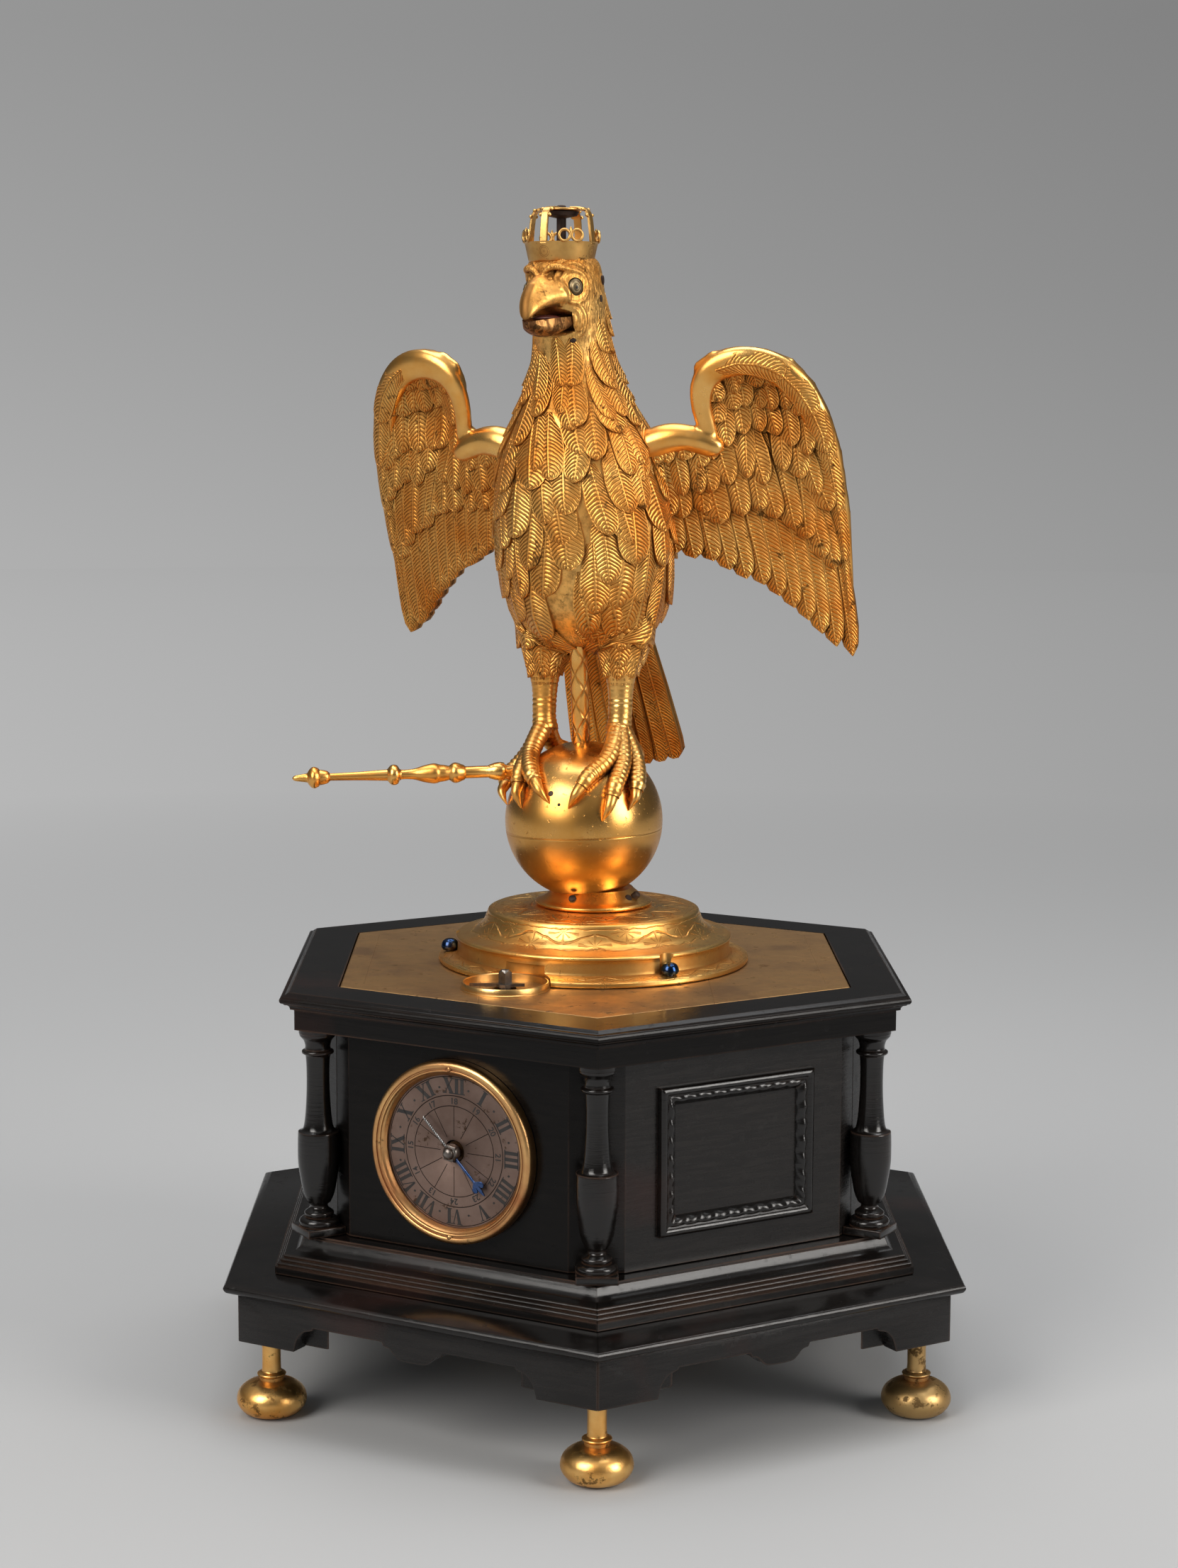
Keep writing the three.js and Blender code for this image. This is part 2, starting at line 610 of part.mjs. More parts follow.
function panelFrame() {
  const mid = WALL_BOTTOM + PANEL_LIFT;
  const halfWidth = PANEL_WIDTH / 2;
  const halfHeight = PANEL_HEIGHT / 2;
  const section = [
    [0, -0.5], [0, PANEL_PROUD * 0.8], [PANEL_BAR * 0.3, PANEL_PROUD], [PANEL_BAR * 0.6, PANEL_PROUD * 0.75],
    [PANEL_BAR * 0.85, PANEL_PROUD * 0.3], [PANEL_BAR, -0.5],
  ];
  const corners = [[-1, -1], [1, -1], [1, 1], [-1, 1]];
  const rings = corners.map(([signX, signZ]) => section.map(([inset, proud]) => [
    signX * (halfWidth - inset), -WALL_APOTHEM - proud, mid + signZ * (halfHeight - inset),
  ]));
  const positions = rings.flat(2);
  const count = section.length;
  const index = [];
  for (let corner = 0; corner < 4; corner += 1) {
    for (let i = 0; i < count; i += 1) {
      const next = (i + 1) % count;
      const other = ((corner + 1) % 4) * count;
      index.push(corner * count + i, other + i, other + next, corner * count + i, other + next,
        corner * count + next);
    }
  }
  const geometry = new THREE.BufferGeometry();
  geometry.setAttribute('position', new THREE.BufferAttribute(new Float32Array(positions), 3));
  geometry.setIndex(index);
  return toSolid(geometry);
}

function makeWalls() {
  const hole = drum(DIAL_HOLE, 0, WALL_APOTHEM + 10, 16).rotate([90, 0, 0]).translate([0, 0, DIAL_Z]);
  const dialWall = wallBoard().subtract(hole);
  place('case_wall_dial', dialWall.rotate([0, 0, sideTurn(0)]), ebony);
  const panelled = wallBoard().add(panelFrame());
  for (let side = 1; side < SIDES; side += 1) {
    place(`case_wall_${side}`, panelled.rotate([0, 0, sideTurn(side)]), ebony);
  }
}

// Columns: turned baluster with a belly, on a square block, under the frieze
function makeColumns() {
  const foot = WALL_BOTTOM + COLUMN_BLOCK_HEIGHT;
  const shaft = COLUMN_SHAFT;
  const belly = COLUMN_BELLY;
  const profile = [
    [0, foot - 0.5], [belly * 0.9, foot - 0.5], [belly, foot + 1.6], [shaft * 1.3, foot + 3.8],
    [shaft * 1.1, foot + 6.6], [belly * 0.8, foot + 10.5], [belly, foot + 20.5], [belly * 0.93, foot + 27.6],
    [shaft * 1.35, foot + 29], [shaft, WALL_TOP - 8.5], [shaft * 1.6, WALL_TOP - 6.3],
    [shaft * 1.15, WALL_TOP - 5.1], [COLUMN_CAP, WALL_TOP - 1.5], [COLUMN_CAP, WALL_TOP], [0, WALL_TOP],
  ];
  const setForward = COLUMN_BLOCK / 2 - COLUMN_BELLY;
  const square = block(COLUMN_BLOCK, COLUMN_BLOCK, COLUMN_BLOCK_HEIGHT, 0, -setForward,
    WALL_BOTTOM + COLUMN_BLOCK_HEIGHT / 2);
  const column = turned(profile, 8).add(square);
  for (let corner = 0; corner < SIDES; corner += 1) {
    place(`column_${corner + 1}`,
      column.translate([0, -COLUMN_CIRCLE, 0]).rotate([0, 0, corner * SIDE_STEP]), ebony);
  }
}

// Cornice: frieze and ovolo in one board, with a sinking for the brass plate
function makeCornice() {
  const lip = CORNICE_TOP_CORNER + CORNICE_LIP;
  const rise = CORNICE_HEIGHT;
  const profile = [
    [0, FRIEZE_BOTTOM], [FRIEZE_CORNER, FRIEZE_BOTTOM], [FRIEZE_CORNER, FRIEZE_TOP],
    [FRIEZE_CORNER + 1.4, FRIEZE_TOP], [FRIEZE_CORNER + 2, FRIEZE_TOP + rise * 0.28],
    [lip - 0.6, FRIEZE_TOP + rise * 0.34], [lip, FRIEZE_TOP + rise * 0.55], [lip - 0.8, FRIEZE_TOP + rise * 0.78],
    [CORNICE_TOP_CORNER + 0.6, FRIEZE_TOP + rise * 0.84], [CORNICE_TOP_CORNER, CORNICE_TOP], [0, CORNICE_TOP],
  ];
  const sinking = PLATE_CORNER + CLEAR / COS30;
  const pocket = turned([
    [0, PLATE_BOTTOM - CLEAR], [sinking, PLATE_BOTTOM - CLEAR], [sinking, CORNICE_TOP + 1], [0, CORNICE_TOP + 1],
  ], SIDES);
  const board = turned(profile, SIDES).subtract(pocket)
    .subtract(shaftHole(FRIEZE_BOTTOM - 1, CORNICE_TOP + 1))
    .subtract(onRing(drum(ARBOR_SQUARE * 0.7 + CLEAR, FRIEZE_BOTTOM - 1, CORNICE_TOP + 1)))
    .subtract(screwHoles(FRIEZE_BOTTOM + 2, CORNICE_TOP + 1));
  place('cornice', board, ebony);
}

// The shaft up to the eagle leans with it, so every hole for it leans too
function leanedDrum(radius, bottom, top) {
  return drum(radius, bottom - ORB_Z, top - ORB_Z).rotate([0, EAGLE_LEAN, 0])
    .translate([ORB_OFFSET, 0, ORB_Z]);
}

function shaftHole(bottom, top) {
  return leanedDrum(TUBE_RADIUS + CLEAR, bottom, top);
}

function onRing(solid) {
  return solid.translate([0, -RING_DISTANCE, 0]).rotate([0, 0, DIAL_TURN]);
}

function screwHoles(bottom, top) {
  const holes = [];
  for (let i = 0; i < SCREW_COUNT; i += 1) {
    const hole = drum(SCREW_SHANK_RADIUS + CLEAR, bottom, top, 8).translate([0, -SCREW_CIRCLE, 0]);
    holes.push(hole.rotate([0, 0, screwTurn(i)]));
  }
  return joined(holes);
}

function screwTurn(i) {
  return -DIAL_TURN + (i * 360) / SCREW_COUNT;
}

// Brass top plate with the raised ring of the small dial soldered on
function makeTopPlate() {
  const plate = turned([
    [0, PLATE_BOTTOM], [PLATE_CORNER, PLATE_BOTTOM], [PLATE_CORNER, PLATE_TOP - 0.5],
    [PLATE_CORNER - 0.7, PLATE_TOP], [0, PLATE_TOP],
  ], SIDES);
  const inner = RING_RADIUS - RING_WALL;
  const ring = turned([
    [inner, PLATE_TOP - 0.5], [RING_RADIUS, PLATE_TOP - 0.5], [RING_RADIUS, PLATE_TOP + RING_HEIGHT],
    [inner, PLATE_TOP + RING_HEIGHT], [inner, PLATE_TOP - 0.5],
  ], RING_SIDES);
  const solid = plate.add(onRing(ring))
    .subtract(onRing(drum(RING_HOLE, PLATE_BOTTOM - 1, PLATE_TOP + 1)))
    .subtract(shaftHole(PLATE_BOTTOM - 1, PLATE_TOP + 1))
    .subtract(screwHoles(PLATE_BOTTOM - 1, PLATE_TOP + 1));
  place('top_plate', solid, wornBrass);
}

// Square arbor with a thin pointer, stepping on the movement's upper plate
function makeSettingPointer() {
  const bottom = PLATE_TOP + CLEAR * 2;
  const top = bottom + POINTER_THICKNESS;
  const hub = drum(ARBOR_SQUARE, bottom, top, 10);
  const half = ARBOR_SQUARE / 2;
  const wide = POINTER_HALF_WIDTH;
  const pointer = prism([
    [-POINTER_LENGTH, wide * 0.3], [-POINTER_LENGTH, -wide * 0.3], [-half, -wide], [half, -wide],
    [POINTER_TAIL, -wide * 0.7], [POINTER_TAIL, wide * 0.7], [half, wide], [-half, wide],
  ], bottom, top);
  const square = block(ARBOR_SQUARE, ARBOR_SQUARE, ARBOR_HEIGHT, 0, 0, top + ARBOR_HEIGHT / 2 - 0.1)
    .intersect(turned([[0, bottom], [half * 1.5, bottom], [half * 1.5, top + ARBOR_HEIGHT * 0.7],
      [half * 0.9, top + ARBOR_HEIGHT * 0.95], [0, top + ARBOR_HEIGHT]], 8));
  const shaft = drum(ARBOR_SQUARE * 0.7, UPPER_PLATE_TOP + CLEAR, bottom + 0.2, 8);
  const solid = joined([hub, pointer, square.rotate([0, 0, 45]), shaft]).rotate([0, 0, -DIAL_TURN]);
  place('setting_pointer', onRing(solid), steel);
}

// Stepped disc: flange, swelling band, cove and a low drum, notched round the small ring dial
function makeDisc() {
  const band = DISC_BAND_RADIUS;
  const top = DISC_TOP;
  const low = DISC_BOTTOM;
  const profile = [
    [0, low], [DISC_RADIUS, low], [DISC_RADIUS - 0.1, low + 1.2], [DISC_RADIUS - 1, low + 1.8],
    [band + 0.2, low + 3.2], [band + 0.4, low + 5], [band - 0.1, low + 7.2], [band - 1.3, low + 8.2],
    [DISC_DRUM_RADIUS + 5.2, low + 8.8], [DISC_DRUM_RADIUS + 1.8, low + 10.8], [DISC_DRUM_RADIUS, low + 15],
    [DISC_DRUM_RADIUS - 1, low + 15.5], [COLLAR_RADIUS, top], [0, top],
  ];
  let disc = turned(profile, 20).subtract(shaftHole(low - 1, top + 1))
    .subtract(onRing(drum(RING_RADIUS + CLEAR, low - 1, low + RING_HEIGHT + 2.6, RING_SIDES)))
    .subtract(screwHoles(low - 1, SCREW_SEAT + 1));
  for (let i = 0; i < SCREW_COUNT; i += 1) {
    const seat = drum(SCREW_HEAD_RADIUS + CLEAR, SCREW_SEAT, top + 1, 10).translate([0, -SCREW_CIRCLE, 0]);
    disc = disc.subtract(seat.rotate([0, 0, screwTurn(i)]));
  }
  place('stepped_disc', disc, gilt);
}

function makeDiscScrews() {
  const seat = SCREW_SEAT + CLEAR;
  const head = SCREW_HEAD_RADIUS;
  const slot = block(head * 3, SCREW_SLOT, 1.2, 0, 0, seat + SCREW_HEAD_HEIGHT);
  const screw = turned([
    [0, FRIEZE_BOTTOM + 3], [SCREW_SHANK_RADIUS, FRIEZE_BOTTOM + 3], [SCREW_SHANK_RADIUS, seat], [head * 0.9, seat],
    [head, seat + SCREW_HEAD_HEIGHT * 0.35], [head * 0.8, seat + SCREW_HEAD_HEIGHT * 0.8],
    [head * 0.4, seat + SCREW_HEAD_HEIGHT], [0, seat + SCREW_HEAD_HEIGHT],
  ], 10).subtract(slot);
  for (let i = 0; i < SCREW_COUNT; i += 1) {
    place(`disc_screw_${i + 1}`, screw.translate([0, -SCREW_CIRCLE, 0]).rotate([0, 0, screwTurn(i)]), bluedSteel);
  }
}

// The orb's surface with room round it; the facets' middles keep the clearance
function orbClearance() {
  const count = 20;
  const radius = (ORB_RADIUS + CLEAR) / Math.cos(Math.PI / count);
  return toSolid(new THREE.SphereGeometry(radius, count, 14));
}

// Collar: a flared cone with a beaded foot that the orb's neck plugs into
function makeCollar() {
  const bottom = COLLAR_BOTTOM;
  const collar = turned([
    [COLLAR_BORE, bottom], [COLLAR_RADIUS, bottom], [COLLAR_RADIUS + 0.2, bottom + 0.7],
    [COLLAR_RADIUS - 0.6, bottom + 1.2], [COLLAR_NECK + 1.4, COLLAR_TOP - 1.2], [COLLAR_NECK, COLLAR_TOP],
    [COLLAR_BORE, COLLAR_TOP], [COLLAR_BORE, bottom],
  ], 20);
  const ball = orbClearance().translate([ORB_OFFSET, 0, ORB_Z]);
  const bored = collar.subtract(ball).subtract(leanedDrum(COLLAR_BORE, bottom - 1, COLLAR_TOP + 1));
  place('collar', bored, gilt);
}

// Orb: hollow-looking ball with a plug below for the collar and a bore for the tube
function makeOrb() {
  const neck = COLLAR_BORE - CLEAR;
  const plug = COLLAR_BOTTOM + CLEAR - ORB_Z;
  const steps = 8;
  const start = Math.acos(neck / ORB_RADIUS);
  const profile = [[0, plug], [neck, plug]];
  for (let step = 0; step <= steps; step += 1) {
    const angle = -start + ((Math.PI / 2 + start) * step) / steps;
    const radius = step === steps ? 0 : ORB_RADIUS * Math.cos(angle);
    profile.push([radius, ORB_RADIUS * Math.sin(angle)]);
  }
  const orb = turned(profile, 18).subtract(drum(TUBE_RADIUS + CLEAR, plug - 1, ORB_RADIUS + 1, 10));
  place('orb', orb, gilt, leaning);
}

// Tube between the legs, and the rod in it that works the wings, beak and eyes
function makeTubeAndRod() {
  const bottom = ORB_RADIUS - TUBE_SINK;
  const tube = turned([
    [TUBE_BORE, bottom], [TUBE_RADIUS, bottom], [TUBE_RADIUS, TUBE_TOP], [TUBE_BORE, TUBE_TOP],
    [TUBE_BORE, bottom],
  ], 12);
  place('support_tube', tube, gilt, eagle);
  place('lifting_rod', drum(ROD_RADIUS, FRIEZE_BOTTOM + 1 - ORB_Z, ROD_TOP, 8), steel, eagle);
}

// Dial parts are made facing -Y and turned to the dial side
function onDial(solid) {
  return solid.rotate([90, 0, 0]).translate([0, 0, DIAL_Z]).rotate([0, 0, DIAL_TURN]);
}

function makeDial() {
  const plate = turned([
    [DIAL_HOLE, DIAL_BACK], [DIAL_RADIUS, DIAL_BACK], [DIAL_RADIUS, DIAL_FRONT], [DIAL_HOLE, DIAL_FRONT],
    [DIAL_HOLE, DIAL_BACK],
  ], 20);
  place('dial_plate', onDial(plate), silvered);
  const front = DIAL_BACK + BEZEL_DEPTH;
  const seat = DIAL_RADIUS + CLEAR;
  const lip = DIAL_FRONT + CLEAR;
  let bezel = turned([
    [seat, DIAL_BACK], [BEZEL_RADIUS, DIAL_BACK], [BEZEL_RADIUS, front - 1.3], [BEZEL_RADIUS - 1, front - 0.2],
    [BEZEL_RADIUS - 2.4, front], [BEZEL_OPENING, lip + 0.4], [BEZEL_OPENING, lip], [seat, lip],
    [seat, DIAL_BACK],
  ], 20);
  for (const side of [-1, 1]) {
    const pin = drum(BEZEL_PIN, front - 1.5, front + 0.2, 8);
    bezel = bezel.add(pin.translate([0, side * (BEZEL_RADIUS - 2), 0]));
  }
  place('dial_bezel', onDial(bezel), gilt);
  const low = DIAL_FRONT + 1.2;
  const high = low + HAND_THICKNESS;
  const hand = prism([
    [-0.7, 0], [-1, 5], [-0.5, HAND_LENGTH * 0.7], [-1.9, HAND_LENGTH * 0.78], [0, HAND_LENGTH],
    [1.9, HAND_LENGTH * 0.78], [0.5, HAND_LENGTH * 0.7], [1, 5], [0.7, 0], [0.45, -HAND_TAIL], [-0.45, -HAND_TAIL],
  ], low, high).rotate([0, 0, -HAND_CLOCK_ANGLE]);
  const hub = turned([
    [0, low - 0.8], [HAND_HUB, low - 0.8], [HAND_HUB, high + 0.5], [HAND_HUB * 0.6, high + 1.4], [0, high + 1.6],
  ], 10);
  const socket = drum(ARBOR_RADIUS * 0.7 + CLEAR, low - 1, high + 0.6, 8);
  place('hour_hand', onDial(hand.add(hub).subtract(socket)), bluedSteel);
}

// Gear outline: straight-sided teeth that narrow to the tip, one tooth centred on the given angle
function gearOutline(teeth, firstAngle) {
  const pitch = (GEAR_MODULE * teeth) / 2;
  const tip = pitch + GEAR_MODULE * 0.75;
  const root = pitch - GEAR_MODULE * 1.15;
  const step = (2 * Math.PI) / teeth;
  const tipHalf = (0.16 * Math.PI * GEAR_MODULE) / tip;
  const rootHalf = (0.3 * Math.PI * GEAR_MODULE) / pitch;
  const points = [];
  for (let tooth = 0; tooth < teeth; tooth += 1) {
    const middle = THREE.MathUtils.degToRad(firstAngle) + tooth * step;
    for (const [radius, offset] of [[root, -rootHalf], [tip, -tipHalf], [tip, tipHalf], [root, rootHalf]]) {
      points.push([radius * Math.cos(middle + offset), radius * Math.sin(middle + offset)]);
    }
  }
  return points;
}

function gear(teeth, firstAngle, bottom, thickness) {
  return prism(gearOutline(teeth, firstAngle), bottom, bottom + thickness);
}

function polar(distance, degrees) {
  const angle = THREE.MathUtils.degToRad(degrees);
  return [distance * Math.cos(angle), distance * Math.sin(angle)];
}

function centreDistance(teethA, teethB) {
  return (GEAR_MODULE * (teethA + teethB)) / 2 + GEAR_PLAY;
}

function makeMovementPlates() {
  const round = drum(MOVEMENT_CORNER, LOWER_PLATE_BOTTOM, LOWER_PLATE_TOP, 16);
  const pillars = [];
  const holes = [];
  for (let i = 0; i < 4; i += 1) {
    const turn = i * 90;
    const shoulder = UPPER_PLATE_BOTTOM - CLEAR;
    const pillar = turned([
      [0, BASE_TOP + CLEAR], [PILLAR_RADIUS, BASE_TOP + CLEAR], [PILLAR_RADIUS, shoulder],
      [PILLAR_RADIUS * 0.7, shoulder], [PILLAR_RADIUS * 0.7, FRIEZE_BOTTOM - CLEAR], [0, FRIEZE_BOTTOM - CLEAR],
    ], 6);
    pillars.push(pillar.translate([0, -PILLAR_CIRCLE, 0]).rotate([0, 0, turn]));
    const hole = drum(PILLAR_RADIUS * 0.7 + CLEAR, UPPER_PLATE_BOTTOM - 1, UPPER_PLATE_TOP + 1, 6);
    holes.push(hole.translate([0, -PILLAR_CIRCLE, 0]).rotate([0, 0, turn]));
  }
  const posts = [POST_INNER, POST_OUTER].map((along) => {
    const height = VERGE_Z + 2.5 - LOWER_PLATE_TOP;
    return block(2, 4, height + 0.5, along, 0, LOWER_PLATE_TOP + height / 2 - 0.25);
  });
  const bearing = drum(VERGE_RADIUS + CLEAR, -30, 30, 8).rotate([0, 90, 0]).translate([0, 0, VERGE_Z]);
  const potence = joined(posts).subtract(bearing).rotate([0, 0, VERGE_BEARING])
    .translate([escapeAt[0], escapeAt[1], 0]);
  place('movement_lower_plate', joined([round, ...pillars, potence]), wornBrass);
  const upper = drum(MOVEMENT_CORNER - 2, UPPER_PLATE_BOTTOM, UPPER_PLATE_TOP, 16).subtract(joined(holes));
  place('movement_upper_plate', upper, wornBrass);
}

function arborAt([x, y], solid) {
  return joined([drum(ARBOR_RADIUS, ARBOR_BOTTOM, ARBOR_TOP, 8), solid]).translate([x, y, 0]);
}

function makeTrain() {
  const barrelBottom = ARBOR_BOTTOM + BARREL_LIFT;
  const barrel = turned([
    [0, barrelBottom], [BARREL_RADIUS, barrelBottom], [BARREL_RADIUS, barrelBottom + BARREL_HEIGHT],
    [0, barrelBottom + BARREL_HEIGHT],
  ], 18);
  place('mainspring_barrel', arborAt([BARREL_X, BARREL_Y], barrel), wornBrass);

  const coneBottom = GREAT_WHEEL_Z + WHEEL_THICKNESS + 1.5;
  const profile = [[0, coneBottom]];
  for (let turn = 0; turn < FUSEE_TURNS; turn += 1) {
    const share = turn / (FUSEE_TURNS - 1);
    const radius = THREE.MathUtils.lerp(FUSEE_BASE, FUSEE_TOP, Math.sqrt(share));
    const rise = FUSEE_HEIGHT / FUSEE_TURNS;
    profile.push([radius, coneBottom + turn * rise], [radius - 0.9, coneBottom + (turn + 0.5) * rise]);
    profile.push([radius, coneBottom + (turn + 1) * rise - 0.05]);
  }
  profile.push([0, coneBottom + FUSEE_HEIGHT]);
  const fusee = joined([
    turned(profile, 8), drum(FUSEE_BOSS, GREAT_WHEEL_Z, coneBottom + 0.5, 8),
    gear(GREAT_TEETH, FUSEE_BEARING + 180, GREAT_WHEEL_Z, WHEEL_THICKNESS),
  ]);
  place('fusee_with_great_wheel', arborAt(fuseeAt, fusee), wornBrass);

  const leafTurn = 180 / PINION_LEAVES;
  const longLeaf = WHEEL_THICKNESS + 2 * PINION_OVERHANG;
  const second = joined([
    gear(PINION_LEAVES, FUSEE_BEARING + leafTurn, GREAT_WHEEL_Z - PINION_OVERHANG, longLeaf),
    gear(PINION_LEAVES, DIAL_AIM, DIAL_Z + DIAL_WHEEL_RING - FACE_PINION / 2, FACE_PINION),
    gear(SECOND_TEETH, ESCAPE_BEARING, SECOND_WHEEL_Z, WHEEL_THICKNESS),
  ]);
  place('second_wheel', arborAt(secondAt, second), wornBrass);

  const saw = [];
  for (let tooth = 0; tooth < ESCAPE_TEETH; tooth += 1) {
    const points = [[0, 0.5], [0, -3], [2.2, 0.5]];
    const blade = prism(points, -0.6, 0.6).rotate([90, 0, 0]).translate([-1.1, 0, 0])
      .rotate([0, 0, 90]).translate([ESCAPE_RING - 0.7, 0, CROWN_WHEEL_Z]);
    saw.push(blade.rotate([0, 0, (tooth * 360) / ESCAPE_TEETH]));
  }
  const rim = drum(ESCAPE_RING, CROWN_WHEEL_Z, CROWN_WHEEL_Z + 1.5, 2 * ESCAPE_TEETH);
  const pinion = gear(PINION_LEAVES, ESCAPE_BEARING + 180 + leafTurn, SECOND_WHEEL_Z - PINION_OVERHANG,
    longLeaf);
  const stem = drum(ARBOR_RADIUS, CROWN_WHEEL_Z + 0.5, ARBOR_TOP, 8);
  place('escape_wheel', joined([...saw, rim, pinion, stem]).translate([escapeAt[0], escapeAt[1], 0]), wornBrass);
}

// Verge across under the escape wheel, with two pallets and the balance at its inner end
function makeBalance() {
  const verge = drum(VERGE_RADIUS, POST_INNER - 1.5, BALANCE_ALONG + 1, 8).rotate([0, 90, 0]);
  const pallets = [-PALLET_ALONG, PALLET_ALONG].map((along, i) => block(2, 0.8, 2, along, 0, 0)
    .translate([0, 0, 1]).rotate([i === 0 ? 40 : -40, 0, 0]));
  const rim = turned([
    [BALANCE_RADIUS - BALANCE_RIM, -0.8], [BALANCE_RADIUS, -0.8], [BALANCE_RADIUS, 0.8],
    [BALANCE_RADIUS - BALANCE_RIM, 0.8], [BALANCE_RADIUS - BALANCE_RIM, -0.8],
  ], 14);
  const bar = block(BALANCE_RADIUS * 2 - 1.5, 1.6, 1.2, 0, 0, 0);
  const wheel = rim.add(bar).rotate([0, 90, 0]).translate([BALANCE_ALONG, 0, 0]);
  const solid = joined([verge, ...pallets, wheel]).rotate([0, 0, VERGE_BEARING])
    .translate([escapeAt[0], escapeAt[1], VERGE_Z]);
  place('balance', solid, steel);
}

// Wheel with face teeth on the hand's arbor
function makeDialWheel() {
  const back = DIAL_WHEEL_FACE + 1.2;
  const ring = DIAL_WHEEL_RING;
  const body = turned([
    [0, back], [ring + 1, back], [ring + 1, back + 1.6], [0, back + 1.6],
  ], 14);
  const teeth = [];
  for (let tooth = 0; tooth < DIAL_WHEEL_TEETH; tooth += 1) {
    const turn = ((tooth + 0.5) * 360) / DIAL_WHEEL_TEETH + 90;
    const face = block(2, 0.95, FACE_TOOTH, ring, 0, back - 0.8);
    teeth.push(face.rotate([0, 0, turn]));
  }
  const arbor = drum(DIAL_HOLE - CLEAR, back, DIAL_BACK, 10).add(drum(ARBOR_RADIUS, back, DIAL_FRONT + 0.2, 8));
  const spigot = drum(ARBOR_RADIUS * 0.7, DIAL_FRONT, DIAL_FRONT + 2.2, 8);
  place('dial_wheel', onDial(joined([body, ...teeth, arbor, spigot])), wornBrass);
}

// Bell in the plinth and its hammer
function makeBellAndHammer() {
  const top = BOARD_BOTTOM - CLEAR;
  const crest = top - 1.5;
  const low = crest - BELL_HEIGHT;
  const outer = BELL_RADIUS;
  const wall = BELL_WALL;
  const bell = turned([
    [outer - wall, low], [outer, low], [outer * 0.93, low + BELL_HEIGHT * 0.4],
    [outer * 0.72, low + BELL_HEIGHT * 0.82], [outer * 0.3, crest], [3, crest], [3, top], [0, top],
    [0, crest - wall], [outer * 0.3, crest - wall], [outer * 0.68, low + BELL_HEIGHT * 0.7],
    [outer * 0.88, low + BELL_HEIGHT * 0.3], [outer - wall, low],
  ], 14);
  place('bell', bell, bellMetal);
  const level = crest - 6;
  const pivot = [HAMMER_ARM, -(BELL_RADIUS + HAMMER_OUTSIDE)];
  const arm = block(HAMMER_ARM + 1, 1.6, 1.6, HAMMER_ARM / 2, pivot[1], level);
  const head = block(4.4, 6, 4.4, 0, -(BELL_RADIUS + 4.4), level);
  const post = drum(HAMMER_POST, level - 1.5, top, 8).translate([pivot[0], pivot[1], 0]);
  place('bell_hammer', joined([arm, head, post]).rotate([0, 0, 180]), steel);
}

function bodyLoft(grow) {
  return loft(BODY_RINGS.map(([z, halfWidth, halfDepth, back]) => ellipseRing(
    [-HEAD_TILT * Math.max(0, z - NECK_Z), back, z], halfWidth + grow, halfDepth + grow, BODY_SIDES,
  )));
}

// A point above the orb: azimuth from straight ahead towards the bird's left, and elevation
function onOrb(azimuth, elevation, distance) {
  const across = THREE.MathUtils.degToRad(azimuth);
  const up = THREE.MathUtils.degToRad(elevation);
  return [
    distance * Math.cos(up) * Math.sin(across), -distance * Math.cos(up) * Math.cos(across), distance * Math.sin(up),
  ];
}

function leg(side, toes) {
  const stops = LEG_STOPS.map(([y, z]) => [side * LEG_SPREAD, y, z]);
  const foot = stops[stops.length - 1];
  const shank = limb(stops, LEG_STOPS.map((stop) => stop[2]), 8, 6);
  const pad = toSolid(new THREE.SphereGeometry(LEG_RADIUS + 0.8, 6, 4)).translate(foot);
  const onTop = ORB_RADIUS + CLEAR;
  const claws = toes.map((toe) => {
    const path = toe.map(([azimuth, elevation], i) => onOrb(azimuth, elevation,
      onTop + (i === toe.length - 1 ? 0.9 : TOE_RADIUS + 0.2)));
    return limb([foot, ...path], [TOE_RADIUS * 1.25, TOE_RADIUS * 1.1, TOE_RADIUS, 0.7], 5, 4);
  });
  return joined([shank, pad, ...claws]);
}

// A ring across the head: forward distance, lowest and highest point, half width
function acrossRing([forward, low, high, halfWidth]) {
  const ring = [];
  const count = 10;
  for (let i = 0; i < count; i += 1) {
    const angle = (2 * Math.PI * i) / count;
    ring.push([halfWidth * Math.cos(angle), -forward, (low + high) / 2 + ((high - low) / 2) * Math.sin(angle)]);
  }
  return ring;
}

function onHead(solid) {
  return solid.rotate([0, 0, HEAD_TURN]);
}

function jawPin(radius, reach) {
  return drum(radius, -reach, reach, 8).rotate([0, 90, 0]).translate([0, -JAW_FORWARD, JAW_Z]);
}

function eyeCentre(side) {
  return [side * EYE_X - HEAD_TILT * (EYE_Z - NECK_Z), -EYE_FORWARD, EYE_Z];
}

function intoEagle(solid) {
  return solid.translate([-ORB_OFFSET, 0, -ORB_Z]).rotate([0, -EAGLE_LEAN, 0]).rotate([0, 0, -EAGLE_TURN]);
}

function shoulder(side) {
  return [side * SHOULDER_X, SHOULDER_Y, SHOULDER_Z];
}

function knuckle(side, grow) {
  const half = KNUCKLE_WIDTH / 2 + grow;
  return drum(KNUCKLE_RADIUS + grow, -half, half, 12).rotate([90, 0, 0]).translate(shoulder(side));
}

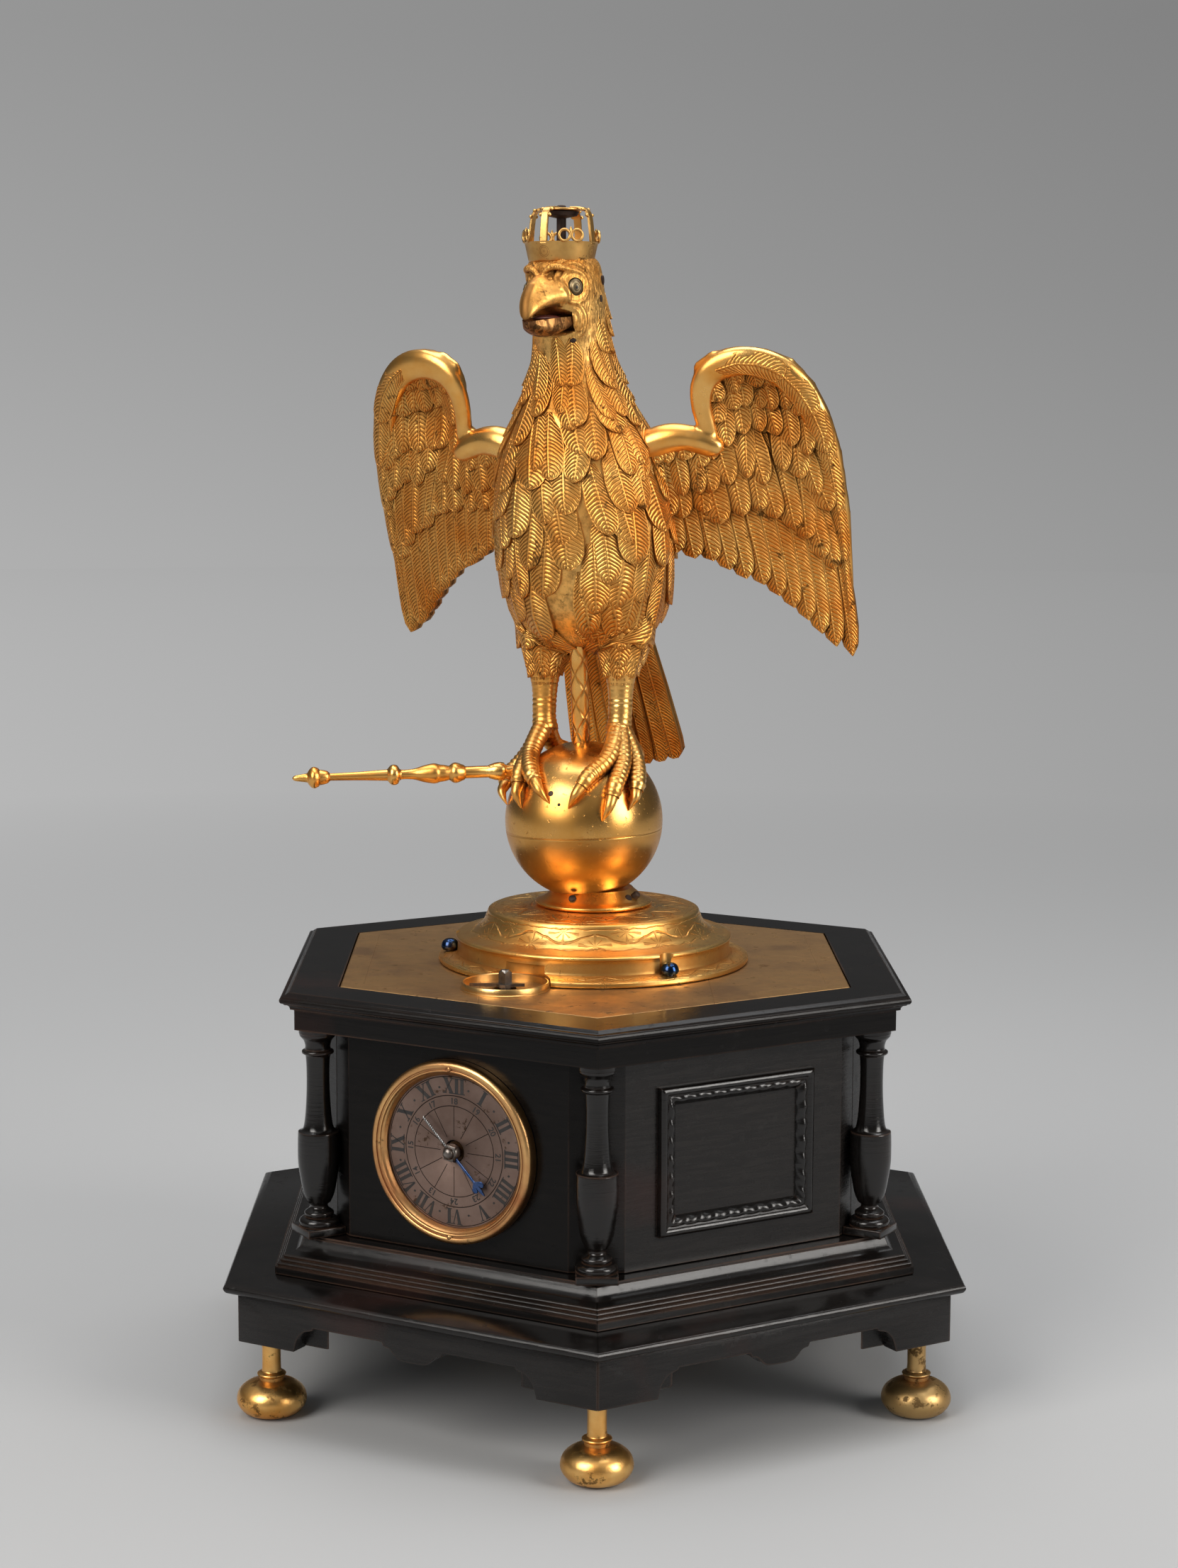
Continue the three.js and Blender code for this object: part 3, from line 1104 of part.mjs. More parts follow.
function makeEagleBody() {
  const tubeHole = drum(TUBE_RADIUS + CLEAR, TUBE_TOP - 17, TUBE_TOP + CLEAR, 10);
  const rodHole = drum(ROD_RADIUS + CLEAR, TUBE_TOP - 7, ROD_TOP + ROD_TRAVEL, 8);
  const mouth = block(JAW_WIDTH + 2 * CLEAR, MOUTH_DEPTH, MOUTH_HEIGHT, 0,
    -MOUTH_DEPTH / 2 - MOUTH_BACK, JAW_Z - CLEAR);
  const crownSeat = turned([
    [CROWN_RADIUS - CROWN_WALL - CLEAR, CROWN_Z - CLEAR], [CROWN_RADIUS + 4, CROWN_Z - CLEAR],
    [CROWN_RADIUS + 4, CROWN_Z + 8], [CROWN_RADIUS - CROWN_WALL - CLEAR, CROWN_Z + 8],
    [CROWN_RADIUS - CROWN_WALL - CLEAR, CROWN_Z - CLEAR],
  ], 16);
  const crownRodHole = drum(CROWN_ROD + CLEAR, CROWN_Z, CROWN_Z + 8, 8);
  const crownCuts = intoEagle(joined([crownSeat, crownRodHole]).translate([CROWN_X, CROWN_Y, ORB_Z]));
  let body = joined([bodyLoft(0), leg(1, LEFT_TOES), leg(-1, RIGHT_TOES)]);
  body = body.subtract(onHead(mouth)).subtract(onHead(jawPin(JAW_PIN + CLEAR, JAW_WIDTH / 2 + 2)))
    .add(onHead(loft(UPPER_BEAK.map(acrossRing))));
  for (const side of [-1, 1]) {
    const socket = toSolid(new THREE.SphereGeometry(EYE_RADIUS + CLEAR * 1.5, 8, 6)).translate(eyeCentre(side));
    body = body.subtract(onHead(socket)).subtract(knuckle(side, CLEAR));
  }
  body = body.subtract(tubeHole).subtract(rodHole).subtract(crownCuts).subtract(intoEagle(sceptreGrasp()));
  place('eagle_body', body, gilt, eagle);
}

function makeHeadParts() {
  const lower = loft(LOWER_BEAK.map(acrossRing));
  place('lower_beak', onHead(lower.add(jawPin(JAW_PIN, JAW_WIDTH / 2 + 1.6))), gilt, eagle);
  for (const [name, side] of [['eye_left', 1], ['eye_right', -1]]) {
    const ball = toSolid(new THREE.SphereGeometry(EYE_RADIUS, 8, 6)).translate(eyeCentre(side));
    place(name, onHead(ball), steel, eagle);
  }
}

// A feather in the X-Z plane: root, tip, half width, and its thickness towards the front
function feather(root, tip, halfWidth, back, front) {
  const along = [tip[0] - root[0], tip[1] - root[1]];
  const length = Math.hypot(...along);
  const [dx, dy] = along.map((part) => part / length);
  const at = (share, offset) => [
    root[0] + dx * length * share - dy * offset, root[1] + dy * length * share + dx * offset,
  ];
  const points = [
    at(0, -halfWidth * 0.8), at(0.8, -halfWidth), at(0.94, -halfWidth * 0.65), at(1, 0),
    at(0.94, halfWidth * 0.65), at(0.8, halfWidth), at(0, halfWidth * 0.8),
  ];
  return prism(points, back, front).rotate([90, 0, 0]);
}

function mix(from, to, share) {
  return [THREE.MathUtils.lerp(from[0], to[0], share), THREE.MathUtils.lerp(from[1], to[1], share)];
}

function wing() {
  const last = WING_TIPS.length - 1;
  const roots = WING_TIPS.map((tip, i) => mix(QUILL_FIRST, QUILL_LAST, i / last));
  const plateEnd = WING_TIPS.map((tip, i) => mix(roots[i], tip, QUILL_COVERED));
  const plate = prism([...WING_EDGE, ...plateEnd, [22, -12]], 0, WING_PLATE).rotate([90, 0, 0]);
  const flights = WING_TIPS.map((tip, i) => feather(roots[i], tip, FLIGHT_HALF_WIDTH, 0.4,
    WING_PLATE + 0.6 + (i % 2) * 0.5));
  const coverts = [0, 2, 4, 6, 8].map((i) => feather(mix(roots[i], WING_TIPS[i], -0.35),
    mix(roots[i], WING_TIPS[i], 0.52), COVERT_HALF_WIDTH, 1, WING_PLATE + 1.6));
  const roll = (line) => limb(line.map(([x, z]) => [x, -1.4, z]), line.map((stop) => stop[2]), 6,
    line.length + 1);
  const stretch = 1 / Math.cos(THREE.MathUtils.degToRad(WING_PITCH));
  return joined([plate, ...flights, ...coverts, roll(SHOULDER_ROLL), roll(WRIST_ROLL)]).scale([1, 1, stretch])
    .rotate([WING_PITCH, 0, 0]).rotate([0, 0, WING_SWEEP]).translate([0, WING_Y, WING_Z]);
}

function makeWings() {
  const flat = wing();
  const grown = bodyLoft(CLEAR * 1.5);
  const at = shoulder(1);
  const back = at.map((part) => -part);
  let left = flat;
  for (const angle of [0, WING_RAISE, -WING_DROP]) {
    left = left.subtract(grown.translate(back).rotate([0, angle, 0]).translate(at));
  }
  left = left.add(knuckle(1, 0));
  place('wing_left', left, gilt, eagle);
  place('wing_right', left.mirror([1, 0, 0]), gilt, eagle);
}

function makeTail() {
  const blades = [];
  const middle = (TAIL_FEATHERS - 1) / 2;
  const step = TAIL_WIDTH / (TAIL_FEATHERS + 0.4);
  for (let i = 0; i < TAIL_FEATHERS; i += 1) {
    const order = i - middle;
    const shorter = 0.28 * order ** 2;
    const layer = 0.42 * (middle - Math.abs(order));
    blades.push(feather([order * 3.4, 0], [order * step, -TAIL_LENGTH + shorter], step * 0.62, -layer - 1.6, 0));
  }
  const web = prism([[-12, 0], [-15.6, -TAIL_LENGTH * 0.85], [15.6, -TAIL_LENGTH * 0.85], [12, 0]], -1.2, 0)
    .rotate([90, 0, 0]);
  const tail = joined([web, ...blades]).rotate([TAIL_SLOPE, 0, 0]).translate([0, TAIL_Y, TAIL_Z])
    .subtract(bodyLoft(CLEAR));
  place('tail', tail, gilt, eagle);
}

// Crown: flared band, strap arches up to a flat ring, and pairs of small scrolls between them
function makeCrown() {
  const flare = CROWN_RADIUS + CROWN_FLARE;
  const wall = CROWN_WALL;
  const band = turned([
    [CROWN_RADIUS - wall, 0], [CROWN_RADIUS, 0], [CROWN_RADIUS + 0.5, 0.6], [flare - 0.3, CROWN_BAND - 0.9],
    [flare, CROWN_BAND], [flare - wall, CROWN_BAND],
    [CROWN_RADIUS - wall, 0],
  ], 16);
  const inner = CROWN_STRAP_LINE.map(([radius, height]) => [radius - wall, height - wall * 0.3]).reverse();
  const strap = prism([...CROWN_STRAP_LINE, ...inner], -CROWN_STRAP / 2, CROWN_STRAP / 2).rotate([90, 0, 0]);
  const solids = [band];
  const step = 360 / CROWN_ARCHES;
  const scroll = CROWN_SCROLL;
  const scrollRing = turned([[scroll * 0.63, 0], [scroll, -0.4], [scroll, 0.4], [scroll * 0.63, 0]], 8)
    .rotate([0, 90, 0]);
  for (let i = 0; i < CROWN_ARCHES; i += 1) {
    solids.push(strap.rotate([0, 0, i * step]));
    for (const side of [-1, 1]) {
      const pair = scrollRing.translate([flare - 0.45, side * scroll * 0.9, CROWN_BAND + scroll * 0.85]);
      solids.push(pair.rotate([0, 0, (i + 0.5) * step]));
    }
  }
  const rodHole = CROWN_ROD + CLEAR;
  const low = CROWN_HEIGHT - 0.7;
  const high = CROWN_HEIGHT + 0.2;
  solids.push(turned([
    [rodHole, low], [CROWN_DISC, low], [CROWN_DISC - 0.8, high], [rodHole, high], [rodHole, low],
  ], 12));
  const crown = joined(solids).rotate([0, 0, CROWN_TURN]).translate([CROWN_X, CROWN_Y, ORB_Z + CROWN_Z]);
  place('crown', crown, gilt);
  const rod = turned([
    [0, CROWN_Z + CLEAR], [CROWN_ROD, CROWN_Z + CLEAR], [CROWN_ROD, CROWN_ROD_TOP - 0.5],
    [CROWN_ROD - 0.5, CROWN_ROD_TOP], [0, CROWN_ROD_TOP],
  ], 10);
  place('crown_rod', rod.translate([CROWN_X, CROWN_Y, ORB_Z]), darkIron);
}

// Sceptre held level in the right claw, its butt against the orb
function alongSceptre(radii, steps) {
  const start = new THREE.Vector3(...SCEPTRE_BUTT);
  const end = new THREE.Vector3(...SCEPTRE_TIP);
  const points = [start, start.clone().lerp(end, 0.5), end].map((point) => point.toArray());
  return limb(points, radii, 6, steps).translate([ORB_OFFSET, 0, ORB_Z]);
}

function sceptreGrasp() {
  const radius = SCEPTRE_RADIUS * SCEPTRE_GRASP + CLEAR;
  return alongSceptre([radius, radius], 1);
}

function makeSceptre() {
  const ball = orbClearance().translate([ORB_OFFSET, 0, ORB_Z]);
  const rod = alongSceptre(SCEPTRE_SHARES.map((share) => share * SCEPTRE_RADIUS), SCEPTRE_SHARES.length - 1);
  place('sceptre', rod.subtract(ball), gilt);
}

makeFeet();
makeAprons();
makePlinthBoard();
makeBaseMoulding();
makeWalls();
makeColumns();
makeCornice();
makeTopPlate();
makeSettingPointer();
makeDisc();
makeDiscScrews();
makeCollar();
makeOrb();
makeTubeAndRod();
makeDial();
makeMovementPlates();
makeTrain();
makeBalance();
makeDialWheel();
makeBellAndHammer();
makeEagleBody();
makeHeadParts();
makeWings();
makeTail();
makeCrown();
makeSceptre();

export default clock;
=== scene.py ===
"""Looks of the automaton clock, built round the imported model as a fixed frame."""
import math
import random

import bpy
from mathutils import Matrix, Vector
from mathutils.bvhtree import BVHTree


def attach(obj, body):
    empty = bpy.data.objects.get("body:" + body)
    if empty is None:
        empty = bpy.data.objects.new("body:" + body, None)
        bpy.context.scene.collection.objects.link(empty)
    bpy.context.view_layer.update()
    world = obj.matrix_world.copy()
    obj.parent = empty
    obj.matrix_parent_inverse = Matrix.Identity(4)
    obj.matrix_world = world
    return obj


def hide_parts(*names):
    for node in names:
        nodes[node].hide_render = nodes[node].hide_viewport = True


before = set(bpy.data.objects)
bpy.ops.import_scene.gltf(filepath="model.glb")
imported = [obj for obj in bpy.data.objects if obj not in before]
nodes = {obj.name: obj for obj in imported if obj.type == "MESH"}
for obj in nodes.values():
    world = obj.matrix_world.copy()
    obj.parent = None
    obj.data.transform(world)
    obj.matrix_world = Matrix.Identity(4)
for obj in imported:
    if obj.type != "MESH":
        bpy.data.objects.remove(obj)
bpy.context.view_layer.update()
bpy.ops.object.select_all(action="DESELECT")


# Camera: stands a little above the orb, square to the front corner of the hexagonal case,
# and looks down by under eight degrees.
def turn(degrees, axis="Z"):
    return Matrix.Rotation(math.radians(degrees), 4, axis)


SENSOR_WIDTH = 36
FOCAL_SHARE = 4180.7 / 2212
bpy.ops.object.camera_add()
camera = bpy.context.object
camera_seat = Matrix.Translation((-0.01179, -0.87535, 0.29281))
camera.matrix_world = camera_seat @ turn(-0.673) @ turn(90 - 7.628, "X") @ turn(0.198)
camera.data.sensor_width = SENSOR_WIDTH
camera.data.lens = SENSOR_WIDTH * FOCAL_SHARE
camera.data.clip_start = 0.01
bpy.context.scene.camera = camera
bpy.context.scene.view_settings.view_transform = "Standard"


# Studio: a round pale floor that fades into a grey backdrop with painted light, lit by soft boxes.
# The backdrop is a colour that only the camera, the metal and clear things see.
def add_node(tree, kind, inputs=None, output=0, **settings):
    """Adds a shader node, sets or links its inputs, and gives one of its outputs."""
    made = tree.nodes.new("ShaderNode" + kind)
    for key, value in settings.items():
        setattr(made, key, value)
    for key, value in (inputs or {}).items():
        if isinstance(value, bpy.types.NodeSocket):
            tree.links.new(value, made.inputs[key])
        else:
            made.inputs[key].default_value = value
    return made.outputs[output]


def math_of(operation):
    """A short function for one kind of maths node; its first value is always a socket."""
    def added(first, second=0.0, third=0.0, clamp=False):
        return add_node(first.id_data, "Math", {0: first, 1: second, 2: third}, operation=operation,
                        use_clamp=clamp)
    return added


plus, minus, times, over = map(math_of, ("ADD", "SUBTRACT", "MULTIPLY", "DIVIDE"))
scaled, least, most = map(math_of, ("MULTIPLY_ADD", "MINIMUM", "MAXIMUM"))
under, past, size, fraction = map(math_of, ("LESS_THAN", "GREATER_THAN", "ABSOLUTE", "FRACT"))
root_of, sine, cosine, bearing = map(math_of, ("SQRT", "SINE", "COSINE", "ARCTAN2"))


def away(value, middle):
    return size(minus(value, middle))


def parts(place):
    return add_node(place.id_data, "SeparateXYZ", {0: place}).node.outputs


def ramp(value, *stops):
    """A grey ramp through stops of place and tone."""
    made = add_node(value.id_data, "ValToRGB", {0: value})
    bands = made.node.color_ramp.elements
    while len(bands) < len(stops):
        bands.new(0.5)
    for band, (place, tone) in zip(bands, stops):
        band.position = place
        band.color = (tone, tone, tone, 1)
    return made


def ranged(value, reach, first, last):
    """Runs from the first to the last value while the given value goes from minus to plus its reach."""
    return add_node(value.id_data, "MapRange", {"Value": value, "From Min": -reach, "From Max": reach,
                                                "To Min": first, "To Max": last})


def shown(shader, kind="OutputMaterial"):
    tree = shader.id_data
    tree.links.new(shader, tree.nodes.new("ShaderNode" + kind).inputs[0])


def mixed(share, first, second):
    return add_node(first.id_data, "MixShader", {0: share, 1: first, 2: second})


def new_finish(name):
    finish = bpy.data.materials.new(name)
    finish.use_nodes = True
    finish.node_tree.nodes.clear()
    return finish, add_node(finish.node_tree, "TexCoord", output="Object")


def background(colour, strength):
    return add_node(air, "Background", {"Color": colour, "Strength": strength})


SIDE_REACH = 0.22
world = bpy.data.worlds.new("studio")
bpy.context.scene.world = world
world.use_nodes = True
air = world.node_tree
air.nodes.clear()
across, _, height = parts(add_node(air, "TexCoord", output="Generated"))
share = scaled(height, 0.5, 0.5)
# Painted light on the backdrop: darker upwards from the horizon, and brighter to the left than to the right.
grey = ramp(share, (0.0, 0.42), (0.4708, 0.378), (0.5, 0.335), (0.5174, 0.31), (0.5577, 0.268), (1.0, 0.2))
backdrop = background(grey, ranged(across, SIDE_REACH, 1.172, 0.828))
dark = ramp(share, (0.0, 0.3), (0.44, 0.2), (0.5, 0.09), (0.64, 0.07), (0.8, 0.16), (1.0, 0.5))
dark_room = background(dark, 1.0)
fill_light = background((0.92, 0.96, 1.0, 1), 0.26)
rays = add_node(air, "LightPath").node.outputs
clear = most(rays["Is Camera Ray"], rays["Is Transmission Ray"])
shown(mixed(clear, mixed(rays["Is Glossy Ray"], fill_light, dark_room), backdrop), "OutputWorld")

CAMERA_DISTANCE = 0.875
bpy.ops.mesh.primitive_circle_add(vertices=128, radius=4, fill_type="NGON")
floor = bpy.context.object
floor.name = "studio_floor"
paper, place = new_finish("floor_paper")
tree = paper.node_tree
distance = add_node(tree, "VectorMath", {0: place}, "Value", operation="LENGTH")
fade = add_node(tree, "MapRange", {"Value": distance, "From Min": 0.3, "From Max": 1.3})
matt = add_node(tree, "BsdfDiffuse", {"Color": (0.36, 0.36, 0.36, 1)})
x, y, _ = parts(place)
# Painted light: the far floor glows, a little darker further away and brighter to the left than to the right.
painted_side_light = ranged(over(x, most(plus(y, CAMERA_DISTANCE), 0.4)), SIDE_REACH, 1.154, 0.846)
tone = ramp(times(distance, 0.25), (0.0, 0.43), (0.185, 0.436), (0.33, 0.417), (1.0, 0.375))
shown(mixed(fade, matt, add_node(tree, "Emission", {"Color": tone, "Strength": painted_side_light})))
floor.data.materials.append(paper)

for name, spot, aim, sizes, power, tint in (
        ("soft_box_left", (-0.95, -0.95, 1.05), (0, 0, 0.2), (0.9, 1.1), 23, (1.0, 0.97, 0.93)),
        ("soft_box_right", (1.15, -0.7, 0.65), (0, 0, 0.15), (0.6, 0.9), 15, (1.0, 0.97, 0.93)),
        ("soft_box_above", (0.1, 0.25, 1.5), (0, 0, 0.1), (1.3, 1.1), 18, (0.97, 0.98, 1.0))):
    bpy.ops.object.light_add(type="AREA", location=spot)
    lamp = bpy.context.object
    lamp.name = name
    lamp.data.shape = "RECTANGLE"
    lamp.data.size, lamp.data.size_y = sizes
    lamp.data.energy = power
    lamp.data.color = tint
    lamp.rotation_euler = (Vector(aim) - Vector(spot)).to_track_quat("-Z", "Y").to_euler()


# Bun feet: six turned and gilt brass feet on slim stems, each screwed up into a corner block.
# The gilding is rubbed and pitted, browner on the foot to the right.
def noise(place, scale, detail=2.0, roughness=0.5, distortion=0.0):
    return add_node(place.id_data, "TexNoise", {"Vector": place, "Scale": scale, "Detail": detail,
                                                "Roughness": roughness, "Distortion": distortion})


def stretched(place, scale):
    return add_node(place.id_data, "Mapping", {"Vector": place, "Scale": scale})


def blended(share, *colours):
    first, second = (c if isinstance(c, bpy.types.NodeSocket) else (*c, 1) for c in colours)
    return add_node(share.id_data, "Mix", {0: share, 6: first, 7: second}, 2, data_type="RGBA")


def skinned(finish, colour, rough, relief, more):
    """Ends a finish with its surface; the relief is a height in metres."""
    tree = finish.node_tree
    bump = add_node(tree, "Bump", {"Height": relief, "Distance": 1.0, "Strength": 1.0})
    shown(add_node(tree, "BsdfPrincipled",
                   {"Base Color": colour, "Roughness": rough, "Normal": bump, **more}))
    return finish


def gilt_finish(name, bright=(0.93, 0.54, 0.165), warm=(0.8, 0.35, 0.065), shade_and_patina=(0.2, 0.065, 0.012),
                rough=0.24, reach=0.004, spots=0.66, grain=0.00004, pattern=None):
    """Fire gilding: pale on the rubbed places, orange where thick, brown in the hollows as patina and painted
    shade.
    """
    finish, place = new_finish(name)
    # Painted shade: ambient occlusion turns the colour brown in hollows and where parts overlap, standing for
    # shade as well as patina.
    open_sky = add_node(finish.node_tree, "AmbientOcclusion", {"Distance": reach}, "AO", samples=6,
                        only_local=True)
    recess_patina_and_shade = scaled(open_sky, -1.7, 1.7, clamp=True)
    relief = times(noise(place, 620, 4), grain)
    if pattern:
        groove, lift = pattern(place)
        recess_patina_and_shade = most(recess_patina_and_shade, groove)
        relief = plus(relief, lift)
    stain = ramp(noise(place, 210, 6, 0.7), (spots, 0.0), (spots + 0.05, 1.0))
    rubbed = ramp(noise(place, 55, 5, 0.6), (0.38, 0.0), (0.66, 1.0))
    colour = blended(times(recess_patina_and_shade, 0.9), blended(rubbed, bright, warm), shade_and_patina)
    colour = blended(times(stain, 0.75), colour, (0.05, 0.025, 0.01))
    wear = scaled(stain, 0.25, scaled(recess_patina_and_shade, 0.22, scaled(rubbed, 0.1, rough)))
    return skinned(finish, colour, wear, relief, {"Metallic": 1.0})


def eased(points, steps=6):
    """A smooth line through the points; a point with a last item of 0 stays a sharp corner."""
    line = []
    for i, point in enumerate(points[:-1]):
        here, there = Vector(point[:-1]), Vector(points[i + 1][:-1])
        before = Vector(points[i - 1][:-1]) if i and point[-1] else here
        after = Vector(points[i + 2][:-1]) if i + 2 < len(points) and points[i + 1][-1] else there
        count = steps if point[-1] or points[i + 1][-1] else 1
        leave = (there - before) / 2 if point[-1] else there - here
        arrive = (after - here) / 2 if points[i + 1][-1] else there - here
        for step in range(count):
            t = step / count
            line.append(here * (2 * t ** 3 - 3 * t ** 2 + 1) + leave * (t ** 3 - 2 * t ** 2 + t)
                        + there * (3 * t ** 2 - 2 * t ** 3) + arrive * (t ** 3 - t ** 2))
    line.append(Vector(points[-1][:-1]))
    return line


def only(piece):
    bpy.ops.object.select_all(action="DESELECT")
    piece.select_set(True)
    bpy.context.view_layer.objects.active = piece


def new_piece(name, vertices, faces, edges=()):
    mesh = bpy.data.meshes.new(name)
    mesh.from_pydata([tuple(v) for v in vertices], list(edges), faces)
    piece = bpy.data.objects.new(name, mesh)
    bpy.context.scene.collection.objects.link(piece)
    only(piece)
    return piece


def outward(piece, smooth=0, merge=0):
    """Merges a piece's doubles where asked, turns its faces outwards and smooths its shading."""
    bpy.ops.object.mode_set(mode="EDIT")
    bpy.ops.mesh.select_all(action="SELECT")
    if merge:
        bpy.ops.mesh.remove_doubles(threshold=merge)
    bpy.ops.mesh.normals_make_consistent(inside=False)
    bpy.ops.object.mode_set(mode="OBJECT")
    if smooth:
        bpy.ops.object.shade_smooth_by_angle(angle=math.radians(smooth))
    return piece


DOUBLE = 0.0005
AT_ORIGIN = Matrix()
MILLIMETRES = Matrix.Scale(0.001, 4)


def spun(name, profile, steps=72, closed=False, smooth=40):
    """Turns a profile of radius and height, bottom to top, round the upright axis."""
    count = len(profile)
    edges = [(i, (i + 1) % count) for i in range(count if closed else count - 1)]
    piece = new_piece(name, [(max(p[0], 0), 0, p[1]) for p in profile], [], edges)
    bpy.ops.object.mode_set(mode="EDIT")
    bpy.ops.mesh.select_all(action="SELECT")
    bpy.ops.transform.rotate(value=math.pi / 2, orient_axis="Z", center_override=(0, 0, 0))
    bpy.ops.mesh.spin(steps=steps, angle=math.tau, center=(0, 0, 0), axis=(0, 0, 1))
    bpy.ops.object.mode_set(mode="OBJECT")
    return outward(piece, smooth, DOUBLE)


def clad(piece, finish):
    piece.data.materials.clear()
    piece.data.materials.append(finish)


def fitted(piece, seat, finish, replaced=None, body="case"):
    """Sets a piece made in millimetres in its place and says what it is."""
    piece.data.transform(seat @ MILLIMETRES)
    clad(piece, finish)
    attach(piece, body)
    if replaced:
        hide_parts(replaced)


def copied(piece, name):
    twin = piece.copy()
    twin.data = piece.data.copy()
    twin.name = twin.data.name = name
    bpy.context.scene.collection.objects.link(twin)
    return twin


def set_round(piece, name, seat, finish, replaced=None, last=6):
    """Sets copies of a piece at the sixths of a turn, and the piece itself at the last of them."""
    twins = [copied(piece, f"{name}_{number}") for number in range(1, last)]
    piece.name = piece.data.name = f"{name}_{last}"
    for number, twin in enumerate(twins + [piece], 1):
        fitted(twin, turn(60 * number - 60) @ seat, finish, replaced and f"{replaced}_{number}")


def shift(x, y, z):
    return Matrix.Translation((x * 0.001, y * 0.001, z * 0.001))


foot_line = eased([
    (0, 0, 0), (4.4, 0.0, 0), (7.6, 0.9, 1), (9.6, 3.1, 1), (10, 5.2, 1), (9.1, 7.6, 1), (6.8, 9.4, 1),
    (4.2, 10.1, 0), (3.5, 10.3, 0), (3.5, 11.3, 0), (4.0, 11.7, 1), (4.1, 12.2, 1), (3.2, 12.7, 0),
    (2.75, 13.2, 1), (2.65, 17, 1), (2.75, 20.4, 1), (3.4, 21.8, 1), (4.2, 22.7, 0), (1.8, 22.7, 0),
    (1.8, 29.7, 0), (0, 29.7, 0)])
foot_gilding = gilt_finish("foot_gilding", bright=(1.0, 0.62, 0.22), rough=0.28, spots=0.57, grain=0.00006)
aged_gilding = gilt_finish("foot_gilding_aged", bright=(0.6, 0.4, 0.17), warm=(0.45, 0.27, 0.1), rough=0.36,
                           spots=0.56)
set_round(spun("turned_foot_1", foot_line, 48), "turned_foot", shift(0, -107, 0), foot_gilding, "foot")
clad(bpy.data.objects["turned_foot_2"], aged_gilding)


# Plinth: ebony apron boards with brackets and a drop, mitred at the corners,
# under a board with a rounded lip; the glued corner blocks take the feet.
def ebony_finish(name, level=1.0, rough=0.3, grain_axis=(6, 6, 90), seams=False, brown=0.5, shine=0.24):
    """Black polished wood with fine grain, brown where the edges are rubbed."""
    finish, place = new_finish(name)
    tree = finish.node_tree
    grain = noise(stretched(place, grain_axis), 14, 8, 0.65)
    cloud = noise(place, 22, 4)
    rounded = add_node(tree, "Bevel", {"Radius": 0.0009}, samples=4)
    plain = add_node(tree, "NewGeometry", output="Normal")
    alike = add_node(tree, "VectorMath", {0: rounded, 1: plain}, "Value", operation="DOT_PRODUCT")
    edge = times(scaled(alike, -6.0, 6.0, clamp=True), ramp(cloud, (0.42, 0.15), (0.62, 1.0)))
    black = tuple(level * part for part in (0.0085, 0.0072, 0.0066))
    lighter = tuple(level * part for part in (0.015, 0.0125, 0.011))
    colour = blended(ramp(grain, (0.4, 0.0), (0.7, 1.0)), black, lighter)
    colour = blended(times(ramp(cloud, (0.6, 0.0), (0.78, 1.0)), brown), colour, (0.03, 0.011, 0.008))
    colour = blended(times(edge, 0.75), colour, (0.085, 0.045, 0.028))
    dust = ramp(noise(place, 330, 3), (0.6, 0.0), (0.7, 1.0))
    wear = scaled(dust, 0.1, scaled(edge, 0.2, scaled(grain, 0.16, rough - 0.06)))
    relief = times(grain, 0.00007)
    if seams:
        x, y, _ = parts(place)
        apart = size(x)
        for slope in (60, -60):
            lean = scaled(y, math.sin(math.radians(slope)), times(x, math.cos(math.radians(slope))))
            apart = least(apart, size(lean))
        joint = under(apart, 0.00016)
        colour = blended(times(joint, 0.9), colour, (0.002, 0.0015, 0.001))
        relief = scaled(joint, -0.0002, relief)
    return skinned(finish, colour, wear, relief, {"Specular IOR Level": shine})


ebony_turned = ebony_finish("ebony_turned", 0.4, 0.13, shine=0.5)
ebony_moulding = ebony_finish("ebony_moulding", 0.45, 0.16, (5, 5, 80), seams=True, shine=0.36)
ebony_apron = ebony_finish("ebony_apron", 0.8, 0.25, (5, 5, 60), brown=0.8, shine=0.34)


def lofted(name, rings, smooth=60, loop=False):
    """A closed skin over rings of equal count; a loop runs on to its first ring, and others are capped."""
    count, wide = len(rings), len(rings[0])
    faces = []
    for i in range(count if loop else count - 1):
        here, there = i * wide, (i + 1) % count * wide
        faces += [[here + k, here + (k + 1) % wide, there + (k + 1) % wide, there + k] for k in range(wide)]
    if not loop:
        faces += [list(range(wide - 1, -1, -1)), list(range((count - 1) * wide, count * wide))]
    return outward(new_piece(name, [point for ring in rings for point in ring], faces), smooth,
                   DOUBLE if loop else 0)


def bevelled(piece, width):
    only(piece)
    bevel = piece.modifiers.new("rounding", "BEVEL")
    bevel.width = width
    bevel.segments = 2
    bevel.limit_method = "ANGLE"
    bevel.angle_limit = math.radians(35)
    bpy.ops.object.modifier_apply(modifier=bevel.name)
    bpy.ops.object.shade_smooth_by_angle(angle=math.radians(40))
    return piece


